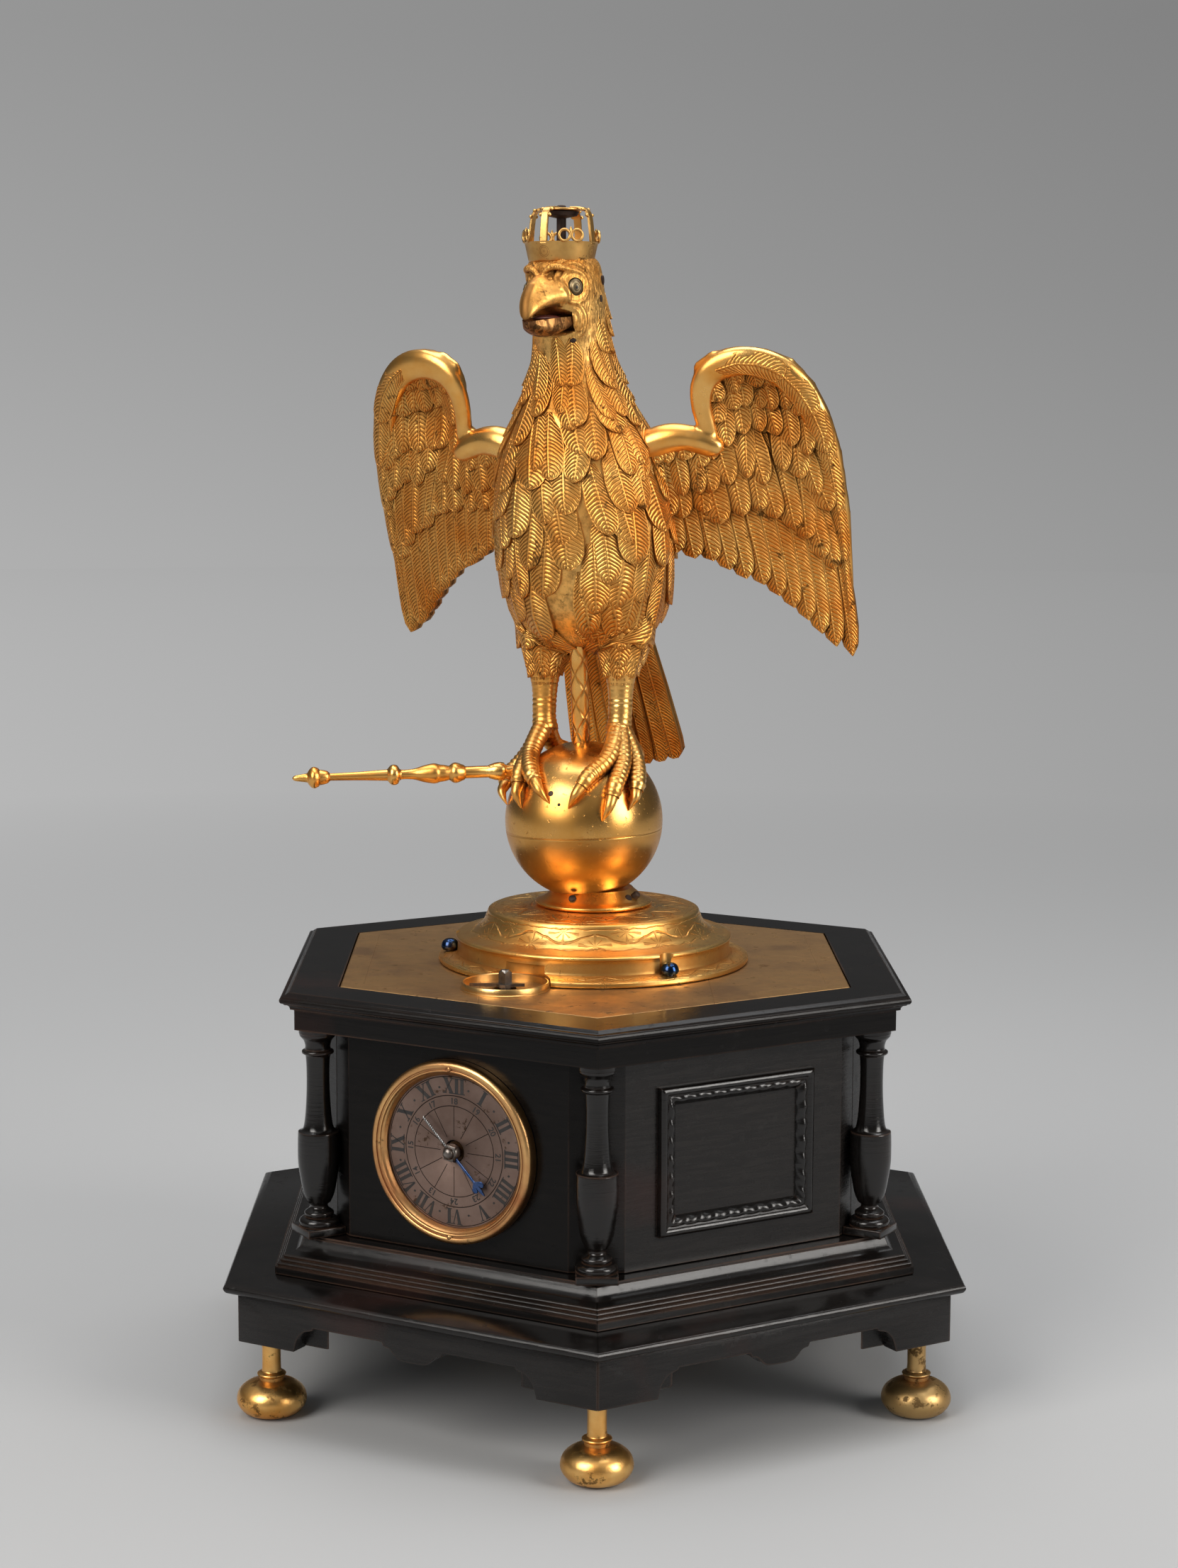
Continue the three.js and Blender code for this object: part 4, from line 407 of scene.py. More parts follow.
APRON_HALF = 58.6
APRON_FRONT = 101.5
APRON_DEPTH = 6
apron_line = eased([
    (-APRON_HALF, 36.8, 0), (-APRON_HALF, 23, 0), (-39.6, 23, 0), (-39.2, 24.6, 0), (-38.3, 27, 1),
    (-36.2, 29.2, 1), (-33.2, 30.1, 0), (-33, 30.8, 0), (-10, 30.8, 0), (-9.4, 29.6, 0), (-7.6, 29.2, 1),
    (-6, 27.7, 1), (-4.2, 26.5, 1), (0, 26.2, 1)], 5)
apron_line += [Vector((-p.x, p.y)) for p in reversed(apron_line[:-1])]
apron_rings = []
for back in (0, APRON_DEPTH):
    mitre = (APRON_FRONT - back) / APRON_FRONT
    apron_rings.append([(p.x * (mitre if abs(p.x) > APRON_HALF - 1 else 1), back - APRON_FRONT, p.y)
                        for p in apron_line])
set_round(bevelled(lofted("apron_board_1", apron_rings, 0), 0.25), "apron_board", turn(-30), ebony_apron,
          "apron")

board_line = eased([
    (0, 37.1, 0), (118.6, 37.1, 0), (119.3, 37.3, 0), (120.9, 37.9, 1), (121.8, 39.1, 1), (121.3, 40.1, 1),
    (120.3, 40.5, 0), (119.8, 40.6, 0), (118.9, 40.9, 0), (0, 40.9, 0)])
fitted(spun("plinth_top_board", board_line, 6, smooth=25), AT_ORIGIN, ebony_moulding, "plinth_board")
block_rings = [[(x, y, z) for x, y in ((0, -110.5), (20.8, -98.5), (-20.8, -98.5))] for z in (23.2, 37.05)]
for number in range(1, 7):
    block = bevelled(lofted(f"corner_block_{number}", block_rings, 0), 0.5)
    fitted(block, turn(60 * number - 60), ebony_apron)

base_line = eased([
    (0, 41.2, 0), (105.6, 41.2, 0), (105.6, 43.4, 0), (104.7, 43.6, 0), (104.9, 44.1, 1), (104.5, 44.5, 1),
    (103.6, 44.6, 0), (103.9, 45.1, 1), (103.5, 45.5, 1), (102.6, 45.6, 0), (102.9, 46.1, 1),
    (102.5, 46.5, 1), (101.4, 46.6, 0), (99.3, 47.1, 1), (97.6, 48.3, 1), (96.6, 50.2, 1), (96.5, 50.6, 0),
    (95.5, 50.7, 0), (95.5, 51.1, 0), (0, 51.1, 0)])
fitted(spun("base_moulding_run", base_line, 6, smooth=25), AT_ORIGIN, ebony_moulding, "base_moulding")

# Case walls: six mitred ebony boards; five carry a raised frame of ripple moulding
# planed with a waving cutter, with a plain rounded bar outside it.
ebony_wall = ebony_finish("ebony_wall", 0.9, 0.25, (6, 6, 70), brown=0.9, shine=0.34)
# Painted shade: the dial wall's ebony is a darker copy of the other walls' ebony, for the shade on that side.
clad(nodes["case_wall_dial"], ebony_finish("ebony_dial_wall_painted_shade", 0.35, 0.2, (6, 6, 50), shine=0.15))
for number in range(1, 6):
    clad(nodes[f"case_wall_{number}"], ebony_wall)
BAR_SECTION = [(-0.2, -0.4), (-0.2, 1.2), (0.3, 2.0), (1.2, 2.25), (2.0, 1.9), (2.3, 1.3), (2.7, 1.75),
               (3.3, 2.0), (4.0, 1.8), (4.7, 1.2), (5.2, 0.5), (5.5, -0.4)]
RIPPLE = 4.4
WALL_FACE = -78.05
corners = [(-25.5, -21), (25.5, -21), (25.5, 21), (-25.5, 21)]
rings = []
for (x, z), (next_x, next_z) in zip(corners, corners[1:] + corners[:1]):
    run = math.hypot(next_x - x, next_z - z)
    dx, dz = (next_x - x) / run, (next_z - z) / run
    waves = round((run - 12) / RIPPLE)
    for step in range(waves * 8 + 1):
        share = step / (waves * 8)
        swell = 0.5 - 0.5 * math.cos(math.tau * waves * share)
        ring = []
        for inset, proud in BAR_SECTION:
            along = inset + (run - 2 * inset) * share
            sunk = 0.3 - 0.44 * swell if 2.4 < inset < 5 else 0
            ring.append((x + dx * along - dz * inset, WALL_FACE - proud + sunk, z + dz * along + dx * inset))
        rings.append(ring)
set_round(lofted("ripple_frame_1", rings, 50, loop=True), "ripple_frame", turn(30) @ shift(0, 0, 81.1),
          ebony_turned, last=5)


# Columns: six turned ebony balusters with a long belly, each on a square block
# and under a turned cap, in the cut-back corners of the case.
def joined(*pieces):
    bpy.ops.object.select_all(action="DESELECT")
    for piece in pieces:
        piece.select_set(True)
    bpy.context.view_layer.objects.active = pieces[0]
    bpy.ops.object.join()
    return pieces[0]


def slab(centre, sizes):
    bpy.ops.mesh.primitive_cube_add(size=1, location=centre, scale=sizes)
    bpy.ops.object.transform_apply(location=True, rotation=True, scale=True)
    return bpy.context.object


column_line = eased([
    (0, 53.4, 0), (5.0, 53.4, 0), (5.7, 54.1, 1), (5.75, 55.2, 1), (5.0, 56.0, 1), (3.7, 56.3, 0),
    (4.1, 56.7, 1), (4.2, 57.6, 1), (3.3, 58.4, 1), (2.6, 59.0, 1), (2.6, 59.9, 1), (3.4, 60.6, 0),
    (4.4, 63.0, 1), (5.2, 67.0, 1), (5.9, 72.0, 1), (6.0, 76.5, 1), (5.9, 80.4, 1), (5.8, 81.3, 0),
    (4.9, 81.6, 0), (4.4, 82.3, 1), (4.0, 84.0, 1), (3.6, 88.0, 1), (3.3, 94.0, 1), (3.3, 100.0, 1),
    (3.5, 103.2, 1), (3.7, 103.8, 0), (4.5, 104.2, 1), (4.5, 104.9, 1), (3.7, 105.3, 0), (3.6, 106.4, 1),
    (4.1, 108.0, 1), (5.1, 109.2, 1), (5.3, 110.0, 0), (5.4, 110.1, 0), (5.4, 111.2, 0), (0, 111.2, 0)], 5)
column = joined(spun("turned_column_6", column_line, 48),
                bevelled(slab((0, -0.2, 52.55), (11.8, 11.8, 2.3)), 0.25))
set_round(column, "turned_column", shift(0, -91.5, 0), ebony_turned, "column")

# Cornice: an ebony frieze and a moulded top rim, mitred at the corners,
# rebated for the brass plate of the movement.
cornice_line = eased([
    (0, 111.5, 0), (98.8, 111.5, 0), (98.8, 117.3, 0), (99.4, 117.4, 0), (100.1, 117.6, 0), (100.3, 118.3, 1),
    (101.0, 118.9, 1), (102.0, 119.1, 0), (102.1, 119.3, 0), (103.1, 119.7, 1), (103.5, 120.5, 1),
    (103.0, 121.4, 1), (102.0, 121.7, 0), (101.7, 121.9, 0), (100.4, 122.6, 0), (84.75, 122.6, 0),
    (84.75, 120.9, 0), (0, 120.9, 0)])
ebony_cornice = ebony_finish("ebony_cornice", 0.35, 0.16, (5, 5, 80), seams=True, shine=0.18)
fitted(spun("cornice_run", cornice_line, 6, smooth=25), AT_ORIGIN, ebony_cornice, "cornice")


# Top plate: the movement's upper brass plate, tarnished, faintly engraved with lines to the corners,
# with the low soldered ring of a small dial round a square setting arbor.
def cut_out(piece, *cutters):
    for cutter in cutters:
        only(piece)
        saw = piece.modifiers.new("cut", "BOOLEAN")
        saw.operation = "DIFFERENCE"
        saw.solver = "EXACT"
        saw.object = cutter
        bpy.ops.object.modifier_apply(modifier=saw.name)
        bpy.data.objects.remove(cutter)


def drum(x, y, bottom, top, radius, sides=32):
    bpy.ops.mesh.primitive_cylinder_add(vertices=sides, radius=radius, depth=top - bottom,
                                        location=(x, y, (bottom + top) / 2))
    bpy.ops.object.transform_apply(location=True, rotation=True, scale=True)
    return bpy.context.object


def largest(values):
    return values[0] if len(values) == 1 else most(values[0], largest(values[1:]))


def hexagon_lines(place):
    """Scribed lines on the plate: a hexagon inside the edge and lines between its corners."""
    x, y, _ = parts(place)
    reaches = [size(scaled(y, math.sin(math.radians(degrees)), times(x, math.cos(math.radians(degrees)))))
               for degrees in (0, 60, 120)]
    nearest = away(largest(reaches), 0.0665)
    for reach in reaches:
        nearest = least(nearest, away(reach, 0.033))
    line = scaled(nearest, -6000.0, 1.4, clamp=True)
    return times(line, 0.55), times(line, -0.00004)


SMALL_DIAL = (-25.75, -44.6)
PLATE_LINE = [(0, 121.2), (84.4, 121.2), (84.4, 122.25), (84.0, 122.6), (83.5, 122.7), (0, 122.7)]
RING_LINE = [(11.8, 122.5), (12.9, 122.5), (12.9, 122.9), (12.65, 123.1), (12.65, 124.4), (12.4, 124.75),
             (12.1, 124.75), (11.85, 124.5)]
plate_brass = gilt_finish("plate_brass", (0.6, 0.35, 0.14), (0.25, 0.145, 0.07), (0.08, 0.04, 0.02), 0.36,
                          0.003, 0.6, pattern=hexagon_lines)
plate = spun("top_plate_brass", PLATE_LINE, 6, smooth=25)
cut_out(plate, drum(*SMALL_DIAL, 118, 124, 3.3))
fitted(plate, AT_ORIGIN, plate_brass, "top_plate")
ring_gilding = gilt_finish("ring_gilding", (0.8, 0.5, 0.19), (0.5, 0.28, 0.09), rough=0.27)
fitted(spun("small_dial_ring", RING_LINE, 96, closed=True), shift(*SMALL_DIAL, 0), ring_gilding)


def steel_finish(name, colour, tint, rough, tone=0.5, metallic=1.0):
    """Filed steel with cloudy colour and scattered rust."""
    finish, place = new_finish(name)
    shade = ramp(noise(place, 260, 5), (tone - 0.12, 0.0), (tone + 0.14, 1.0))
    return skinned(finish, blended(shade, colour, tint), scaled(shade, 0.15, rough),
                   times(noise(place, 1500, 3), 0.00004), {"Metallic": metallic})


filed_steel = steel_finish("filed_steel", (0.24, 0.22, 0.2), (0.09, 0.07, 0.06), 0.3)
clad(nodes["setting_pointer"], filed_steel)


# Stepped disc: cast and turned brass, gilt, engraved with running leaf scrolls on the flange,
# the hollow of the drum and the top, and notched round the small dial.
def hypotenuse(x, y):
    return root_of(scaled(x, x, times(y, y)))


def leaf_scrolls(place):
    """A waving vine with a fan of leaves in each bend, in three bands between ruled borders."""
    x, y, z = parts(place)
    radius = hypotenuse(x, y)
    angle = over(bearing(y, x), math.tau)
    wobble = scaled(noise(place, 240), 0.5, -0.25)
    bands = [
        (radius, 43.6, 2.2, 26, times(under(z, 0.1255), past(z, 0.123))),
        (z, 134.6, 2.6, 11, times(under(radius, 0.0375), past(radius, 0.0302))),
        (radius, 24.2, 5.6, 12, times(under(z, 0.1405), past(z, 0.138)))]
    carved = []
    for height, middle, half, count, inside in bands:
        up = scaled(minus(height, middle * 0.001), 1000 / half, wobble)
        along = fraction(times(angle, count))
        leaves = scaled(size(scaled(sine(times(along, math.tau)), -0.45, up)), -9.0, 1.3, clamp=True)
        for centre, side in ((0.25, 1), (0.75, -1)):
            cross = times(minus(along, centre), 5.2)
            rise = scaled(up, side, 0.75)
            fan = bearing(cross, rise)
            rays = scaled(cosine(times(fan, 9.0)), 4.0, -2.2, clamp=True)
            edge = scaled(cosine(times(fan, 4.5)), 0.25, 1.1)
            leaves = most(leaves, times(rays, under(hypotenuse(cross, rise), edge)))
        border = scaled(away(size(up), 1.02), -14.0, 1.0, clamp=True)
        carved.append(times(times(most(leaves, times(border, 0.7)), inside), under(size(up), 1.15)))
    total = largest(carved)
    return times(total, 0.6), times(total, -0.00022)


disc_gilding = gilt_finish("disc_gilding", (0.93, 0.57, 0.18), (0.7, 0.31, 0.065), rough=0.27, spots=0.64,
                           reach=0.006, pattern=leaf_scrolls)
disc_line = eased([
    (0, 123.0, 0), (46.2, 123.0, 0), (46.4, 123.4, 0), (46.3, 124.2, 0), (45.5, 124.6, 1), (43.5, 125.1, 1),
    (41.6, 125.4, 0), (40.9, 125.5, 0), (40.75, 126.4, 1), (40.7, 128.6, 1), (40.9, 129.6, 0),
    (41.3, 129.9, 1), (41.2, 130.6, 1), (40.3, 131.0, 0), (38.4, 131.2, 1), (35.4, 132.1, 1),
    (33.2, 134.2, 1), (32.0, 136.8, 1), (31.6, 137.9, 0), (31.3, 138.3, 1), (30.4, 138.7, 0),
    (18.5, 139.4, 0), (0, 139.4, 0)])
SCREW_TURNS = (30, 150, 270)
SCREW_REACH = 43
disc = spun("stepped_disc_gilt", disc_line, 144, smooth=32)
screw_spots = [turn(degrees) @ Vector((0, -SCREW_REACH, 0)) for degrees in SCREW_TURNS]
cut_out(disc, drum(*SMALL_DIAL, 122.8, 128, 13.0, 64),
        *[drum(spot.x, spot.y, 125.25, 133, 3.0) for spot in screw_spots])
only(disc)
bpy.ops.object.shade_smooth_by_angle(angle=math.radians(32))
fitted(disc, AT_ORIGIN, disc_gilding, "stepped_disc")

# Disc screws: three blued steel screws with domed, slotted heads that hold the disc down.
# The blue is worn to grey in places.
blued_steel = steel_finish("blued_steel", (0.02, 0.05, 0.13), (0.09, 0.07, 0.055), 0.16, tone=0.56)
head_line = eased([(0, 120.0, 0), (1.2, 120.0, 0), (1.2, 125.5, 0), (2.2, 125.5, 0), (2.6, 126.1, 1),
                   (2.65, 126.8, 1), (2.2, 128.0, 1), (1.2, 128.7, 1), (0, 128.85, 1)])
head = spun("screw_pattern", head_line, 48)
cut_out(head, slab((0, 0, 128.9), (8, 0.75, 1.8)))
for number, (seat_turn, slot_turn) in enumerate(zip(SCREW_TURNS, (50, 10, 80)), 1):
    screw = copied(head, f"disc_screw_head_{number}")
    seat = turn(seat_turn) @ shift(0, -SCREW_REACH, 0) @ turn(slot_turn)
    fitted(screw, seat, blued_steel, f"disc_screw_{number}")
bpy.data.objects.remove(head)

# Collar: a plain polished cone with a beaded foot, under the orb.
# Three rusty iron pins hold it.
polished_gilding = gilt_finish("polished_gilding", rough=0.26, spots=0.68, grain=0.00003)
collar_line = eased([
    (7.9, 139.65, 0), (16.9, 139.65, 0), (17.4, 140.1, 1), (17.4, 140.6, 1), (16.9, 141.0, 0),
    (16.5, 141.1, 0), (15.2, 141.7, 1), (13.6, 142.9, 1), (12.2, 144.1, 1), (11.6, 144.7, 0),
    (11.2, 144.7, 0), (10.6, 144.3, 0), (7.9, 144.3, 0)])
fitted(spun("conical_collar", collar_line, 96, closed=True), AT_ORIGIN, polished_gilding, "collar")
rusty_iron = steel_finish("rusty_iron", (0.05, 0.03, 0.02), (0.022, 0.012, 0.009), 0.6, metallic=0.5)
pin_line = eased([(0, -3, 0), (1.15, -3, 0), (1.15, 0.2, 0), (0.9, 0.6, 1), (0, 0.75, 1)])
for number, degrees, height, reach in ((1, -118, 143.0, 13.7), (2, -42, 142.6, 13.6), (3, -30, 143.4, 14.6)):
    seat = turn(degrees) @ shift(reach, 0, height) @ turn(50, "Y")
    fitted(spun(f"collar_pin_{number}", pin_line, 16), seat, rusty_iron)

# Orb: two polished and gilt brass hemispheres with a fine seam, pitted, duller below it, with a painted
# reflection.
# Two small iron plugs close old holes.
ORB_RADIUS = 23.5
ORB_SEAM = -2.8
ORB_FOOT = 7.6
LEANING = shift(-3, 0, 164.9) @ turn(-2, "Y")
EAGLE = LEANING @ turn(-25)
HEAD = EAGLE @ turn(-7)


def orb_halves(place):
    # Painted reflection: below the seam, patches turn rougher and darker orange-brown, for the brass and dark
    # wood reflected there.
    painted_lower_reflection = times(under(parts(place)[2], 0.1621), times(noise(place, 90, 6, 0.7), 0.5))
    pits = ramp(noise(place, 700), (0.66, 0.0), (0.7, 1.0))
    return most(painted_lower_reflection, times(pits, 0.35)), times(pits, -0.00003)


orb_gilding = gilt_finish("orb_gilding", (0.8, 0.44, 0.13), (0.7, 0.34, 0.075), (0.42, 0.15, 0.025), 0.23,
                          0.003, 0.7, 0.000012, orb_halves)
orb_line = [(0, -25.0), (ORB_FOOT, -25.0)]
start = -math.acos(ORB_FOOT / ORB_RADIUS)
for step in range(57):
    angle = start + (math.pi / 2 - start) * step / 56
    height = ORB_RADIUS * math.sin(angle)
    if orb_line[-1][1] < ORB_SEAM <= height:
        edge = math.sqrt(ORB_RADIUS ** 2 - ORB_SEAM ** 2)
        orb_line += [(edge, ORB_SEAM - 0.09), (edge - 0.05, ORB_SEAM), (edge, ORB_SEAM + 0.09)]
    orb_line.append((ORB_RADIUS * math.cos(angle), height))
fitted(spun("polished_orb", orb_line, 128, smooth=60), LEANING, orb_gilding, "orb")
for number, degrees, up, wide in ((1, -27, 27, 0.85), (2, -19, 19, 0.5)):
    plug = spun(f"orb_plug_{number}", [(0, -0.6), (wide, -0.6), (wide, 0.05), (0, 0.08)], 12)
    seat = LEANING @ turn(degrees) @ turn(90 - up, "X") @ shift(0, 0, ORB_RADIUS - 0.05)
    fitted(plug, seat, rusty_iron)

# Dial: silvered brass plate with black wax-filled numerals, in a turned and gilt bezel held by two pins.
# Twelve Roman hours run outside, and 13 to 24 inside; the blued hand is pinned to a steel hub.
DIAL_HEIGHT = 81.2
DIAL = turn(-30) @ shift(0, 0, DIAL_HEIGHT) @ turn(90, "X")
SPOKE_END = 0.01295


def dial_rings(place):
    """Engraved circles and radial lines, measured from the middle of the plate."""
    centred = add_node(place.id_data, "Mapping", {"Vector": place, "Location": (0, 0, -DIAL_HEIGHT * 0.001)})
    x, _, z = parts(add_node(place.id_data, "VectorRotate", {"Vector": centred, "Angle": math.radians(30)}))
    radius = hypotenuse(x, z)
    circles = [under(away(radius, ring), width)
               for ring, width in ((0.0213, 0.00011), (0.0159, 0.00013), (SPOKE_END, 0.00012))]
    off = away(fraction(plus(times(bearing(x, z), 12 / math.tau), 6.5)), 0.5)
    spoke = under(times(off, times(radius, math.tau / 12)), 0.0001)
    spoke = times(times(spoke, under(radius, SPOKE_END)), past(radius, 0.0044))
    line = most(largest(circles), spoke)
    return line, times(line, -0.00005)


silvering = gilt_finish("dial_silvering", (0.25, 0.175, 0.145), (0.165, 0.11, 0.088), (0.012, 0.01, 0.01),
                        0.42, 0.0015, 0.6, 0.00003, dial_rings)
dial_line = [(3.2, 78.3), (24.4, 78.3), (24.4, 79.3), (3.4, 79.3), (3.2, 79.2)]
fitted(spun("silvered_dial", dial_line, 96, closed=True), DIAL, silvering, "dial_plate")

STROKES = {
    "I": (0.4, [(-0.11, 0.11, -0.11, 0.11), (-0.2, 0.2, -0.2, 0.2, 0, 0.06),
                (-0.2, 0.2, -0.2, 0.2, 0.94, 1)]),
    "V": (0.72, [(-0.06, 0.04, -0.32, -0.08), (-0.02, 0.04, 0.22, 0.28), (-0.4, -0.02, -0.4, -0.02, 0.94, 1),
                 (0.13, 0.37, 0.13, 0.37, 0.94, 1)]),
    "X": (0.78, [(0.1, 0.35, -0.35, -0.1), (-0.3, -0.23, 0.22, 0.29), (-0.41, -0.13, -0.41, -0.13, 0, 0.06),
                 (0.04, 0.42, 0.04, 0.42, 0, 0.06), (-0.42, -0.04, -0.42, -0.04, 0.94, 1),
                 (0.12, 0.38, 0.12, 0.38, 0.94, 1)]),
}
NUMERAL_HEIGHT = 4.5
NUMERAL_FOOT = 16.4
vertices, faces = [], []


def steps_round(count):
    return [math.tau * k / count for k in range(count)]


def ink(outline):
    start, count = len(vertices), len(outline)
    vertices.extend((x, y, level) for level in (79.28, 79.36) for x, y in outline)
    faces.append(list(range(start + count - 1, start - 1, -1)))
    faces.append(list(range(start + count, start + 2 * count)))
    faces.extend([start + i, start + (i + 1) % count, start + count + (i + 1) % count, start + count + i]
                 for i in range(count))


for hour, numeral in enumerate("I II III IIII V VI VII VIII IX X XI XII".split(), 1):
    angle = math.radians(30 * hour)
    cursor = -sum(STROKES[letter][0] for letter in numeral) / 2
    for letter in numeral:
        width, strokes = STROKES[letter]
        middle = cursor + width / 2
        cursor += width
        for left, right, upper_left, upper_right, *levels in strokes:
            low, high = levels or (0.03, 0.97)
            outline = []
            for across, level in ((left, low), (right, low), (upper_right, high), (upper_left, high)):
                x = (middle + across) * NUMERAL_HEIGHT
                y = NUMERAL_FOOT + level * NUMERAL_HEIGHT
                outline.append((turn(-30 * hour) @ Vector((x, y, 0))).xy)
            ink(outline)
    dot = angle + math.radians(15)
    ink([(18.4 * math.sin(dot) + 0.34 * math.cos(a), 18.4 * math.cos(dot) + 0.34 * math.sin(a))
         for a in steps_round(8)])
numerals = new_piece("roman_numerals", vertices, faces)
for hour in range(1, 13):
    text = bpy.data.curves.new("digits", "FONT")
    text.body = str((hour + 5) % 12 + 13)
    text.align_x = "CENTER"
    text.size = 2.5
    text.extrude = 0.04
    text.offset = 0.035
    text.resolution_u = 3
    digits = bpy.data.objects.new("digits", text)
    bpy.context.scene.collection.objects.link(digits)
    only(digits)
    bpy.ops.object.convert(target="MESH")
    digits = bpy.context.object
    digits.data.transform(turn(-30 * hour) @ Matrix.Translation((0, 13.5, 79.32)))
    joined(numerals, digits)
wax = steel_finish("black_wax", (0.012, 0.011, 0.011), (0.022, 0.018, 0.016), 0.5, metallic=0.0)
fitted(numerals, DIAL, wax)

bezel_gilding = gilt_finish("bezel_gilding", (0.8, 0.47, 0.19), (0.5, 0.21, 0.085), (0.16, 0.045, 0.02), 0.3,
                            0.003, 0.62)
bezel_line = eased([
    (24.7, 78.3, 0), (26.1, 78.3, 0), (26.15, 80.2, 1), (26.0, 81.3, 1), (25.4, 82.0, 1), (24.7, 82.2, 1),
    (24.2, 82.05, 0), (24.1, 81.75, 0), (23.7, 81.75, 0), (23.5, 82.0, 1), (23.1, 81.9, 1), (22.9, 81.5, 0),
    (22.4, 81.0, 1), (22.0, 80.4, 1), (21.8, 80.1, 0), (21.8, 79.6, 0), (24.7, 79.6, 0)])
bezel_pin_line = eased([(0, 81, 0), (0.8, 81, 0), (0.8, 82.0, 0), (0.5, 82.35, 1), (0, 82.5, 1)])
bezel = spun("turned_bezel", bezel_line, 128, closed=True)
for side in (-1, 1):
    pin = spun("bezel_pin", bezel_pin_line, 16)
    pin.data.transform(Matrix.Translation((0, side * 24.0, 0)))
    joined(bezel, pin)
fitted(bezel, DIAL, bezel_gilding, "dial_bezel")

HAND_AIM = turn(-135)
stem = [(-0.42, 1.5), (0.42, 1.5), (0.34, 10.6), (0.9, 11.0), (2.0, 11.9), (2.1, 12.9), (1.3, 13.5),
        (0.75, 13.1), (0.5, 12.3), (0.55, 13.6), (0.25, 15.0), (0, 15.6)]
stem += [(-x, y) for x, y in reversed(stem[2:-1])]
hand = lofted("blued_hand", [[(x, y, z) for x, y in stem] for z in (80.55, 81.1)], 0)
hand_blue = steel_finish("hand_blue", (0.025, 0.07, 0.2), (0.08, 0.12, 0.25), 0.18)
fitted(bevelled(hand, 0.12), DIAL @ HAND_AIM, hand_blue, "hour_hand", "hour_work")


def swept(name, line, radii, sides, across, smooth):
    """A round bar along a line of points, with its own radius at each."""
    rings = []
    for i, (point, radius) in enumerate(zip(line, radii)):
        ahead = (line[min(i + 1, len(line) - 1)] - line[max(i - 1, 0)]).normalized()
        across = (across - ahead * across.dot(ahead)).normalized()
        other = ahead.cross(across)
        rings.append([point + (across * math.cos(a) + other * math.sin(a)) * radius
                      for a in steps_round(sides)])
    return lofted(name, rings, smooth)


WIRE_TURNS = 9
WIRE_STEPS = 90
wires = []
for way in (1, -1):
    line = [Vector((way * 0.26 * math.cos(math.tau * WIRE_TURNS * share), -1.5 - 11.4 * share,
                    80.85 + way * 0.26 * math.sin(math.tau * WIRE_TURNS * share)))
            for share in (i / WIRE_STEPS for i in range(WIRE_STEPS + 1))]
    wires.append(swept("twisted_tail", line, [0.2] * len(line), 6, Vector((0, 0, 1)), 60))
bright_wire = steel_finish("bright_wire", (0.5, 0.5, 0.5), (0.25, 0.25, 0.25), 0.25)
fitted(joined(*wires), DIAL @ HAND_AIM, bright_wire, None, "hour_work")
hub_line = eased([(0, 79.7, 0), (2.5, 79.7, 0), (2.55, 80.6, 1), (2.2, 81.6, 1), (1.7, 82.1, 0),
                  (1.5, 82.9, 1), (0.8, 83.4, 1), (0, 83.5, 1)])
hub = joined(spun("hand_hub", hub_line, 32), bevelled(slab((0, 0, 81.2), (4.6, 3.4, 1.6)), 0.4))
fitted(hub, DIAL @ turn(-100), filed_steel, None, "hour_work")

# Movement: brass plates and pillars, barrel, fusee and wheels, with steel verge and balance, inside the case.
# The bell hangs in the plinth, and a steel hammer swings against it.
movement_brass = gilt_finish("movement_brass", (0.75, 0.5, 0.2), (0.6, 0.36, 0.13), rough=0.3, reach=0.003)
for name in ("movement_lower_plate", "movement_upper_plate", "mainspring_barrel", "fusee_with_great_wheel",
             "second_wheel", "escape_wheel"):
    clad(nodes[name], movement_brass)
# Painted shade: the dial wheel, seen through the hole round the hub, is near black so that the hole reads as
# shadow.
clad(nodes["dial_wheel"],
     gilt_finish("dial_wheel_painted_shade", (0.07, 0.05, 0.03), (0.035, 0.022, 0.014), rough=0.4, reach=0.003))
for name in ("balance", "bell_hammer", "lifting_rod"):
    clad(nodes[name], filed_steel)
bell_line = eased([
    (0, 35.6, 0), (0, 33.7, 0), (10.8, 33.7, 1), (18, 33.0, 1), (24.5, 31.2, 1), (29.5, 28.8, 1),
    (33, 26.6, 1), (34.4, 25.3, 0), (36, 25.3, 0), (35.6, 27.0, 1), (33.4, 29.4, 1), (28.5, 32.4, 1),
    (20, 34.6, 1), (10.8, 35.3, 0), (3, 35.3, 0), (3, 36.8, 0), (0, 36.8, 0)])
bell_bronze = gilt_finish("bell_bronze", (0.6, 0.42, 0.2), (0.42, 0.27, 0.12), rough=0.28)
fitted(spun("turned_bell", bell_line[1:], 96), AT_ORIGIN, bell_bronze, "bell")


# Support tube: a gilt brass tube engraved with leaf scales, which rises from the orb into the body
# behind the legs, and holds the steel lifting rod.
def leaf_scales(place):
    """Two sets of slanting lines round the tube, which leans with the eagle."""
    x, y, z = parts(place)
    around = times(bearing(y, scaled(z, 0.0349, plus(x, -0.00276))), 3 / math.tau)
    rise = times(z, 1 / 0.0085)
    line = largest([scaled(away(fraction(scaled(around, way, rise)), 0.5), -9.0, 1.0, clamp=True)
                     for way in (1, -1)])
    return times(line, 0.6), times(line, -0.00018)


TUBE_LINE = [(1.7, 12.8), (2.65, 12.8), (2.65, 54), (3.0, 54.6), (3.0, 58), (1.7, 58)]
fitted(spun("engraved_support_tube", TUBE_LINE, 48, closed=True), LEANING,
       gilt_finish("tube_gilding", pattern=leaf_scales), "support_tube")


